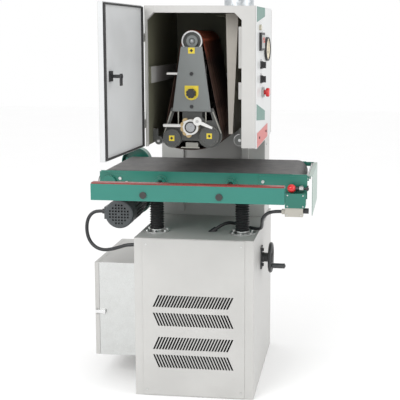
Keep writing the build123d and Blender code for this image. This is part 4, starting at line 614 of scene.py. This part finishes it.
# ---- Abrasive belt ----
# Resin-bonded abrasive on cloth, run over drum, guide and top roller: painted shade darkens it lower down,
# and it is painted lighter towards the top.
# Burnished lanes run along it.
grit, tree, shader = new_finish("abrasive_grit", 0.75)
here = place(tree, "ShaderNodeTexCoord").outputs["Object"]
grains = place(tree, "ShaderNodeTexVoronoi", {"Vector": here, "Scale": 1400.0})
lanes = place(tree, "ShaderNodeMapping", {"Vector": here, "Scale": (1.5, 38.0, 1.5)}).outputs["Vector"]
lane = span(tree, noise(tree, 1.0, 4.0, lanes), 0.40, 0.68, 0.0, 1.0)
rise = place(tree, "ShaderNodeSeparateXYZ", {0: here}).outputs["Z"]
# Painted light and shade by height: the belt goes dark below the top roller and light above it.
lit_towards_top = span(tree, rise, 1.40, 1.525, 0.0, 1.0)
cloth = blend_colour(tree, lit_towards_top, (0.050, 0.022, 0.015, 1), (0.52, 0.090, 0.030, 1))
between = span(tree, grains.outputs["Distance"], 0.1, 0.6, 0.0, 0.35)
sprinkled = blend_colour(tree, between, cloth, (0.05, 0.025, 0.018, 1))
burnished = blend_colour(tree, times(tree, lane, 0.35), sprinkled, (0.20, 0.11, 0.075, 1))
tree.links.new(burnished, shader.inputs["Base Color"])
roughen(tree, shader, lane, 0.0, 1.0, 0.85, 0.60)
emboss(tree, shader, grains.outputs["Distance"], 0.7, 0.0003)
loop = bmesh.new()
loop.from_mesh(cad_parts["abrasive_belt"].data)
bmesh.ops.remove_doubles(loop, verts=loop.verts, dist=1e-5)
for height in range(14):
    everything = list(loop.verts) + list(loop.edges) + list(loop.faces)
    bmesh.ops.bisect_plane(loop, geom=everything, plane_co=(0, 0, 1.15 + height * 0.0254), plane_no=(0, 0, 1))
cloth_belt = finished_piece("abrasive_belt_cloth", loop, grit, smooth=45)
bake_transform(cloth_belt)
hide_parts("abrasive_belt")

# ---- Platen and hold-down rollers ----
# Graphite-faced platen shoe under the head.
# Two steel rollers on brackets hold the board down on either side of it.
dress("platen", moulded("graphite_face", (0.36, 0.355, 0.32), 0.38, grain=300.0, depth=0.0001, bloom=0.35))
dress("hold_down_brackets", casting_dark)
for node in ("hold_down_roller_infeed", "hold_down_roller_outfeed"):
    dress(node, turned_steel)

# ---- Door ----
# Double-skin steel door on two lift-off hinges, in pale grey inside and cabinet grey outside.
# It carries a black sponge gasket and a black turn latch.
door_white = enamel("door_white", (0.55, 0.56, 0.565), 0.40, dusty=0.0)
dress("door_panel", door_white, cabinet_grey, where=lambda at, facing: facing.x < -0.5)
gasket_sponge = moulded("gasket_sponge", (0.03, 0.03, 0.03), 0.85, grain=700.0, depth=0.0002, bloom=0.2)
dress("door_gasket", gasket_sponge)
dress("door_latch_case", black_plastic)
dress("door_latch_handle", black_plastic)
dress("door_hinges", cabinet_grey)

# ---- Control box ----
# White wedge-shaped control face with green corner fields and a pale red band, all screen printed.
# It holds a thickness readout, an ammeter, two selector switches, a lamp and the emergency stop.
FACE_ORIGIN = Vector((0.268, -0.461, 0.0))
FACE_TURN = math.radians(4.3)
ALONG = Vector((math.sin(FACE_TURN), math.cos(FACE_TURN), 0))
OUT = Vector((math.cos(FACE_TURN), -math.sin(FACE_TURN), 0))
face_white = enamel("face_white", (0.62, 0.63, 0.63), 0.34, dusty=0.0)
GREEN_SKIN = {"peel": 500.0, "depth": 0.0001, "dusty": 0.12, "coat": 0.25}
machine_green = enamel("machine_green", (0.012, 0.150, 0.110), 0.34, worn_to=(0.16, 0.42, 0.35), **GREEN_SKIN)
pale_red = enamel("pale_red", (0.58, 0.15, 0.14), 0.36, dusty=0.0)
stop_grey = moulded("stop_grey", (0.42, 0.43, 0.42), 0.4)
dial_cream = enamel("dial_cream", (0.72, 0.64, 0.48), 0.5, dusty=0.0)
red_gloss = moulded("red_gloss", (0.62, 0.012, 0.014), 0.22, grain=200.0, depth=0.00002, bloom=0.04, coat=0.5)
display_glass, tree, shader = new_finish("display_glass", 0.12, coat=0.8)
shader.inputs["Base Color"].default_value = (0.020, 0.035, 0.030, 1)
roughen(tree, shader, noise(tree, 120.0, 3.0), 0.35, 0.7, 0.08, 0.22)
lamp_lens, tree, shader = new_finish("lamp_lens", 0.15, coat=0.6)
here = place(tree, "ShaderNodeTexCoord").outputs["Object"]
facets = place(tree, "ShaderNodeTexVoronoi", {"Vector": here, "Scale": 350.0})
depth_of_facet = span(tree, facets.outputs["Distance"], 0.0, 0.6, 0.0, 1.0)
lens_colour = blend_colour(tree, depth_of_facet, (0.66, 0.64, 0.55, 1), (0.48, 0.44, 0.32, 1))
tree.links.new(lens_colour, shader.inputs["Base Color"])
STOP_AT = Vector((0.118, 1.286))
READOUT_AT = Vector((0.087, 1.486))
GAUGE_AT = Vector((0.203, 1.456))
LAMP_AT = Vector((0.060, 1.541))
STOP_REACH, GAUGE_REACH, DIAL_REACH, LAMP_REACH = 0.0225, 0.049, 0.0432, 0.0115
RED_BAND_TOP = 1.1535


def on_face(at):
    """Where a point lies on the control face: along it, up, and out from it."""
    from_origin = at - FACE_ORIGIN
    return from_origin.dot(ALONG), at.z, from_origin.dot(OUT)


def control_part(at, facing):
    along, up, out = on_face(at)
    if out > 0.0041:
        return 2 if (Vector((along, up)) - STOP_AT).length < STOP_REACH else 1
    return 0


def instrument_part(at, facing):
    along, up, out = on_face(at)
    spot = Vector((along, up))
    if abs(along - READOUT_AT.x) < 0.038 and abs(up - READOUT_AT.y) < 0.036:
        return 1 if out > 0.01305 else 0
    from_gauge = (spot - GAUGE_AT).length
    if from_gauge < GAUGE_REACH:
        needle = abs(along - GAUGE_AT.x) < 0.0012 and out > 0.0111
        dial = from_gauge < DIAL_REACH and facing.dot(OUT) > 0.5 and out < 0.0125
        return 2 if dial and not needle else 0
    if (spot - LAMP_AT).length < LAMP_REACH:
        return 3
    if out > 0.0049:
        return 0
    return 5 if up < RED_BAND_TOP else 4


dress("control_box", face_white, black_plastic, stop_grey, where=control_part)
instrument_finishes = (black_plastic, display_glass, dial_cream, lamp_lens, machine_green, pale_red)
dress("panel_instruments", *instrument_finishes, where=instrument_part)
for node in ("selector_upper", "selector_lower"):
    dress(node, black_plastic)
dress("estop_button", red_gloss)

# ---- Dial and display markings ----
# The ammeter's scale and the arc marks by the selectors are screen printed in black.
# The readout's figures are lit red segments.
BAR_THICK = 0.0003
DIAL_FACE = 0.0112
on_panel = Matrix.Translation(FACE_ORIGIN) @ Matrix((
    (ALONG.x, 0, OUT.x, 0), (ALONG.y, 0, OUT.y, 0), (0, 1, 0, 0), (0, 0, 0, 1)
))


def panel_bar(along, up, wide, tall, out, turn=0.0):
    """A thin printed bar on the control face, turned in its plane."""
    shape = bmesh.new()
    spot = Matrix.Translation((along, up, out + BAR_THICK / 2)) @ Matrix.Rotation(turn, 4, "Z")
    size = Matrix.Diagonal((wide, tall, BAR_THICK, 1))
    bmesh.ops.create_cube(shape, size=1.0, matrix=on_panel @ spot @ size)
    return shape


scale_bars = []
for tick in range(21):
    turn = math.radians(130 - tick * 13)
    long_tick = tick % 5 == 0
    reach = 0.034 if long_tick else 0.0355
    wide, tall = (0.0011, 0.007) if long_tick else (0.0006, 0.004)
    along, up = GAUGE_AT.x + reach * math.sin(turn), GAUGE_AT.y + reach * math.cos(turn)
    scale_bars.append(panel_bar(along, up, wide, tall, DIAL_FACE, turn=-turn))
scale_bars.append(panel_bar(GAUGE_AT.x, GAUGE_AT.y - 0.012, 0.012, 0.012, DIAL_FACE, turn=math.pi / 4))
SELECTOR_ALONG, SELECTOR_ARC, PRINT_FACE = 0.088, 0.022, 0.0041
for selector_up in (1.395, 1.339):
    for step in range(-3, 4):
        turn = math.radians(step * 15)
        along = SELECTOR_ALONG - SELECTOR_ARC * math.sin(turn)
        up = selector_up + SELECTOR_ARC * math.cos(turn)
        scale_bars.append(panel_bar(along, up, 0.0044, 0.0014, PRINT_FACE, turn=turn))
markings = finished_piece("panel_markings", merged(*scale_bars), mark_black)
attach(markings, "base")

SEGMENTS = {"0": "abcdef", "1": "bc", "2": "abdeg", "5": "acdfg"}
SEGMENT_SPOTS = {
    "a": (0.0, 1.0, 1), "b": (0.5, 0.5, 0), "c": (0.5, -0.5, 0), "d": (0.0, -1.0, 1), "e": (-0.5, -0.5, 0),
    "f": (-0.5, 0.5, 0), "g": (0.0, 0.0, 1),
}
DIGIT_HIGH, DIGIT_WIDE, DIGIT_STEP = 0.0095, 0.0082, 0.0140
DIGITS_LEFT, DIGITS_UP, GLASS_FACE = 0.066, 1.492, 0.0141
STROKE = 0.0017
figures = []
for column, figure in enumerate("1250"):
    left = DIGITS_LEFT + column * DIGIT_STEP
    for segment in SEGMENTS[figure]:
        across, up, level = SEGMENT_SPOTS[segment]
        wide, tall = (0.0062, STROKE) if level else (STROKE, 0.0082)
        spot = (left + across * DIGIT_WIDE, DIGITS_UP + up * DIGIT_HIGH)
        figures.append(panel_bar(*spot, wide, tall, GLASS_FACE))
figures.append(panel_bar(0.0870, 1.4822, 0.0018, 0.0018, GLASS_FACE))
lit_red, tree, shader = new_finish("lit_red", 0.4)
shader.inputs["Base Color"].default_value = (0.50, 0.05, 0.04, 1)
shader.inputs["Emission Color"].default_value = (1.0, 0.10, 0.05, 1)
shader.inputs["Emission Strength"].default_value = 0.25
display = finished_piece("readout_figures", merged(*figures), lit_red)
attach(display, "base")

# ---- Feed table ----
# Welded bed and side plates in machine green.
# The rollers under the belt are turned steel.
dress("table_frame", machine_green, casting_dark, where=lambda at, facing: at.y > 0.0565 or at.z < 0.8495)
dress("drive_roller", turned_steel)
dress("idler_roller", turned_steel)
SIDE_SCREW_X, SIDE_SCREW_Z = 0.287, 0.927


def side_panel_part(at, facing):
    from_screw = Vector((at.x - SIDE_SCREW_X, at.z - SIDE_SCREW_Z)).length
    on_take_up = -0.312 < at.x < -0.26 and 0.901 < at.z < 0.936
    return at.y < -0.3541 and from_screw < 0.0072 or on_take_up and -0.3605 < at.y < -0.3543


dress("table_side_panel", machine_green, zinc_plate, where=side_panel_part)
dress("chain_guard", machine_green)

# ---- Feed belt ----
# Black-grey rubber conveyor belt, ribbed along its travel, with painted highlight on the rib crests and
# painted shade in the grooves.
# It is scuffed pale in fine streaks where boards run.
feed_rubber, tree, shader = new_finish("feed_rubber", 0.62)
here = place(tree, "ShaderNodeTexCoord").outputs["Object"]
ribs_along = {"Vector": here, "Scale": 17.0, "Distortion": 0.0}
grip = place(tree, "ShaderNodeTexWave", ribs_along, wave_type="BANDS", bands_direction="Y")
drawn_out = place(tree, "ShaderNodeMapping", {"Vector": here, "Scale": (1.6, 130.0, 1.6)}).outputs["Vector"]
scuffs = span(tree, noise(tree, 1.0, 6.0, drawn_out), 0.45, 0.72, 0.0, 1.0)
# Painted light and shade: lighter bands on the rib crests, darker bands in the grooves.
rib_shaded_rubber = blend_colour(tree, grip.outputs["Fac"], (0.022, 0.022, 0.024, 1), (0.120, 0.120, 0.122, 1))
powder = place(tree, "ShaderNodeGroup", {"Amount": 0.06}, node_tree=dust)
scuffed = blend_colour(tree, times(tree, scuffs, 0.45), rib_shaded_rubber, (0.19, 0.18, 0.17, 1))
dusted = blend_colour(tree, powder.outputs["Mask"], scuffed, DUST_COLOUR + (1,))
tree.links.new(dusted, shader.inputs["Base Color"])
roughen(tree, shader, scuffs, 0.0, 1.0, 0.55, 0.75)
emboss(tree, shader, grip.outputs["Fac"], 0.8, 0.0007)
dress("conveyor_belt", feed_rubber)

# ---- Feed motor ----
# Small fan-cooled gear motor hung under the outfeed end, in dark grey.
# The gland is black nylon.
GLAND_X, MOTOR_MOUNT_Z = -0.4099, 0.8155
dress("conveyor_motor", motor_grey, black_plastic, machine_green, where=lambda at, facing: (
    1 if at.x < GLAND_X else 2 if at.z > MOTOR_MOUNT_Z else 0
))

# ---- Switch box and stop lever ----
# Green terminal box with a plain grey junction box below it.
# The lever beside it has a red ball and slides in its post.
junction_grey = enamel("junction_grey", (0.46, 0.44, 0.39), 0.42)
JUNCTION_TOP_Z, POST_FOOT_Z = 0.8312, 0.8935


def switch_box_part(at, facing):
    if at.x > 0.4521 and at.z < 0.829:
        return 2
    if at.z < JUNCTION_TOP_Z:
        return 1
    return 3 if at.z > POST_FOOT_Z else 0


dress("switch_box", machine_green, junction_grey, black_plastic, turned_steel, where=switch_box_part)
black_oxide = machined("black_oxide", (0.075, 0.076, 0.080), 0.34, (25, 700, 25), stain=0.1, wear=0.2)
LEVER_BALL, BALL_REACH = Vector((0.405, -0.383, 0.907)), 0.0175
dress("stop_lever", red_gloss, black_oxide, where=lambda at, facing: (at - LEVER_BALL).length > BALL_REACH)
box_screws = []
for x in (0.390, 0.452):
    for z in (0.838, 0.882):
        box_screws.append(stub((x, -0.4058, z), 0.0036, 0.0018, tip=0.0026))
for x in (0.388, 0.444):
    box_screws.append(stub((x, -0.4018, 0.802), 0.0034, 0.0018, tip=0.0026))
terminal_screws = finished_piece("terminal_box_screws", merged(*box_screws), zinc_plate, smooth=40)
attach(terminal_screws, "table")

# ---- Kick plate and outboard rail ----
# Kick-out plate across the infeed end of the table, in machine green painted pale as if in strong light.
# The green pull-out rail carries a red strip and slides on two blackened steel rods.
KICK_BACK_X = 0.4695
# Painted light: the pale green stands for the machine green under strong light.
kick_green_painted_light = enamel("kick_green_painted_light", (0.36, 0.45, 0.41), 0.40, worn_to=(0.7, 0.76, 0.72))
dress("kick_plate", kick_green_painted_light, turned_steel, where=lambda at, facing: at.x < KICK_BACK_X)
strip_red = moulded("strip_red", (0.23, 0.022, 0.018), 0.35, grain=400.0, depth=0.00005, bloom=0.15)
rail_green = enamel("rail_green", (0.018, 0.185, 0.145), 0.34, worn_to=(0.2, 0.46, 0.40), **GREEN_SKIN)


STRIP_Z = 0.9551
RAIL_BACK_Y, RAIL_FRONT_Y = -0.6219, -0.6591


def rail_part(at, facing):
    if at.z > STRIP_Z:
        return 1
    if at.y < RAIL_FRONT_Y:
        return 3
    return 2 if at.y > RAIL_BACK_Y else 0


# The rail's front faces take the same near-black finish as the painted groove shade.
dress("outboard_rail", rail_green, strip_red, black_oxide, painted_groove_shade, where=rail_part)
for node in ("rail_knob_left", "rail_knob_right"):
    dress(node, black_plastic)

# ---- Conduits ----
# Two flexible rubber-covered conduits: feed motor to cabinet, and infeed box to the cabinet top.
# Each is fixed in a nylon gland at both ends and hangs in a loose loop.
MOTOR_ROUTE = (
    (-0.422, -0.207, 0.757), (-0.448, -0.207, 0.757), (-0.472, -0.208, 0.746), (-0.488, -0.210, 0.722),
    (-0.493, -0.214, 0.690), (-0.489, -0.219, 0.655), (-0.474, -0.226, 0.624), (-0.447, -0.234, 0.602),
    (-0.412, -0.241, 0.594), (-0.376, -0.246, 0.600), (-0.340, -0.249, 0.611), (-0.302, -0.250, 0.624),
    (-0.264, -0.250, 0.624),
)
TABLE_ROUTE = (
    (0.366, -0.381, 0.812), (0.338, -0.381, 0.812), (0.310, -0.374, 0.803), (0.290, -0.352, 0.783),
    (0.280, -0.318, 0.760), (0.276, -0.276, 0.733), (0.268, -0.232, 0.709), (0.251, -0.188, 0.694),
    (0.224, -0.150, 0.688), (0.188, -0.134, 0.691), (0.150, -0.143, 0.706), (0.118, -0.163, 0.713),
    (0.092, -0.1765, 0.7055), (0.068, -0.184, 0.689),
)
conduit_rubber = moulded(
    "conduit_rubber", (0.017, 0.018, 0.020), 0.36, grain=900.0, depth=0.00005, bloom=0.10
)
dress("cable_glands", black_plastic)


def route_line(name, route):
    """Points along the smooth line of a route."""
    curve = bpy.data.curves.new(name, "CURVE")
    curve.dimensions = "3D"
    spline = curve.splines.new("NURBS")
    spline.points.add(len(route) - 1)
    for point, at in zip(spline.points, route):
        point.co = (*at, 1)
    spline.order_u = 3
    spline.use_endpoint_u = True
    spline.resolution_u = 10
    carrier = bpy.data.objects.new(name, curve)
    bpy.context.scene.collection.objects.link(carrier)
    line = bpy.data.meshes.new_from_object(carrier)
    points = [vert.co.copy() for vert in line.vertices]
    bpy.data.objects.remove(carrier)
    bpy.data.meshes.remove(line)
    return points


def hose(points, radius, ridge):
    """A tube along the points, drawn ring by ring; every other ring is wider, so it has fine ridges."""
    shape = bmesh.new()
    ring = bmesh.ops.create_circle(shape, cap_ends=True, segments=20, radius=radius)["verts"]
    forward = (points[1] - points[0]).normalized()
    facing = Vector((0, 0, 1)).rotation_difference(forward)
    bmesh.ops.transform(shape, matrix=Matrix.Translation(points[0]) @ facing.to_matrix().to_4x4(), verts=ring)
    rim = list(shape.edges)
    here, size = points[0], 1.0
    for index, there in enumerate(points[1:], 1):
        ahead = points[min(index + 1, len(points) - 1)] - points[index - 1]
        turn = forward.rotation_difference(ahead.normalized())
        drawn = bmesh.ops.extrude_edge_only(shape, edges=rim)["geom"]
        ring = [item for item in drawn if isinstance(item, bmesh.types.BMVert)]
        rim = [item for item in drawn if isinstance(item, bmesh.types.BMEdge) and item.is_boundary]
        grown = 1.0 + (ridge if index % 2 else 0.0)
        swell = turn.to_matrix().to_4x4() @ Matrix.Scale(grown / size, 4)
        move = Matrix.Translation(there) @ swell @ Matrix.Translation(-here)
        bmesh.ops.transform(shape, matrix=move, verts=ring)
        forward, here, size = ahead.normalized(), there, grown
    bmesh.ops.holes_fill(shape, edges=rim, sides=24)
    bmesh.ops.recalc_face_normals(shape, faces=shape.faces)
    return shape


for name, route, radius, node in (
    ("motor_conduit_hose", MOTOR_ROUTE, 0.0073, "motor_conduit"),
    ("table_conduit_hose", TABLE_ROUTE, 0.0068, "table_conduit"),
):
    line = route_line(name + "_line", route)
    tube = finished_piece(name, hose(line, radius, 0.03), conduit_rubber, smooth=60)
    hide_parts(node)
    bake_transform(tube)

# ---- Floor, light and camera ----
# A pale seamless floor in a white surround.
# Two soft lights stand above the object, one at its front left and one at its right.
floor_shape = bmesh.new()
just_below = Matrix.Translation((0, 0, -0.0005))
bmesh.ops.create_grid(floor_shape, x_segments=1, y_segments=1, size=14.0, matrix=just_below)
paper, tree, shader = new_finish("studio_paper", 0.9)
paper_white = blend_colour(tree, noise(tree, 1.5, 3.0), (0.97, 0.97, 0.97, 1), (0.99, 0.99, 0.99, 1))
tree.links.new(paper_white, shader.inputs["Base Color"])
floor = finished_piece("floor", floor_shape, paper)

world = bpy.data.worlds.new("studio")
bpy.context.scene.world = world
world.use_nodes = True
world.node_tree.nodes["Background"].inputs["Color"].default_value = (1.0, 1.0, 1.0, 1)
world.node_tree.nodes["Background"].inputs["Strength"].default_value = 1.0


def soft_light(name, at, towards, size, power):
    lamp = bpy.data.lights.new(name, "AREA")
    lamp.shape = "RECTANGLE"
    lamp.size, lamp.size_y = size
    lamp.energy = power
    holder = bpy.data.objects.new(name, lamp)
    bpy.context.scene.collection.objects.link(holder)
    holder.location = at
    holder.rotation_euler = (Vector(towards) - Vector(at)).to_track_quat("-Z", "Y").to_euler()


soft_light("key_light", (-1.6, -3.6, 2.9), (0, 0, 0.9), (2.4, 2.0), 70)
soft_light("right_light", (3.2, -1.2, 2.2), (0, 0, 1.0), (2.0, 2.4), 25)

CAMERA_AT = Vector((0.661, -3.777, 1.506))
YAW, PITCH, ROLL = math.radians(6.18), math.radians(7.59), math.radians(0.33)
camera_data = bpy.data.cameras.new("camera")
camera_data.sensor_width = 36
camera_data.lens = 78.02
camera_data.shift_x = -0.16
camera_data.shift_y = -0.12
camera = bpy.data.objects.new("camera", camera_data)
bpy.context.scene.collection.objects.link(camera)
look = Matrix.Rotation(YAW, 4, "Z") @ Matrix.Rotation(-PITCH, 4, "X") @ Matrix.Rotation(-ROLL, 4, "Y")
camera.matrix_world = Matrix.Translation(CAMERA_AT) @ look @ Matrix.Rotation(math.pi / 2, 4, "X")
bpy.context.scene.camera = camera
bpy.context.scene.view_settings.view_transform = "Standard"
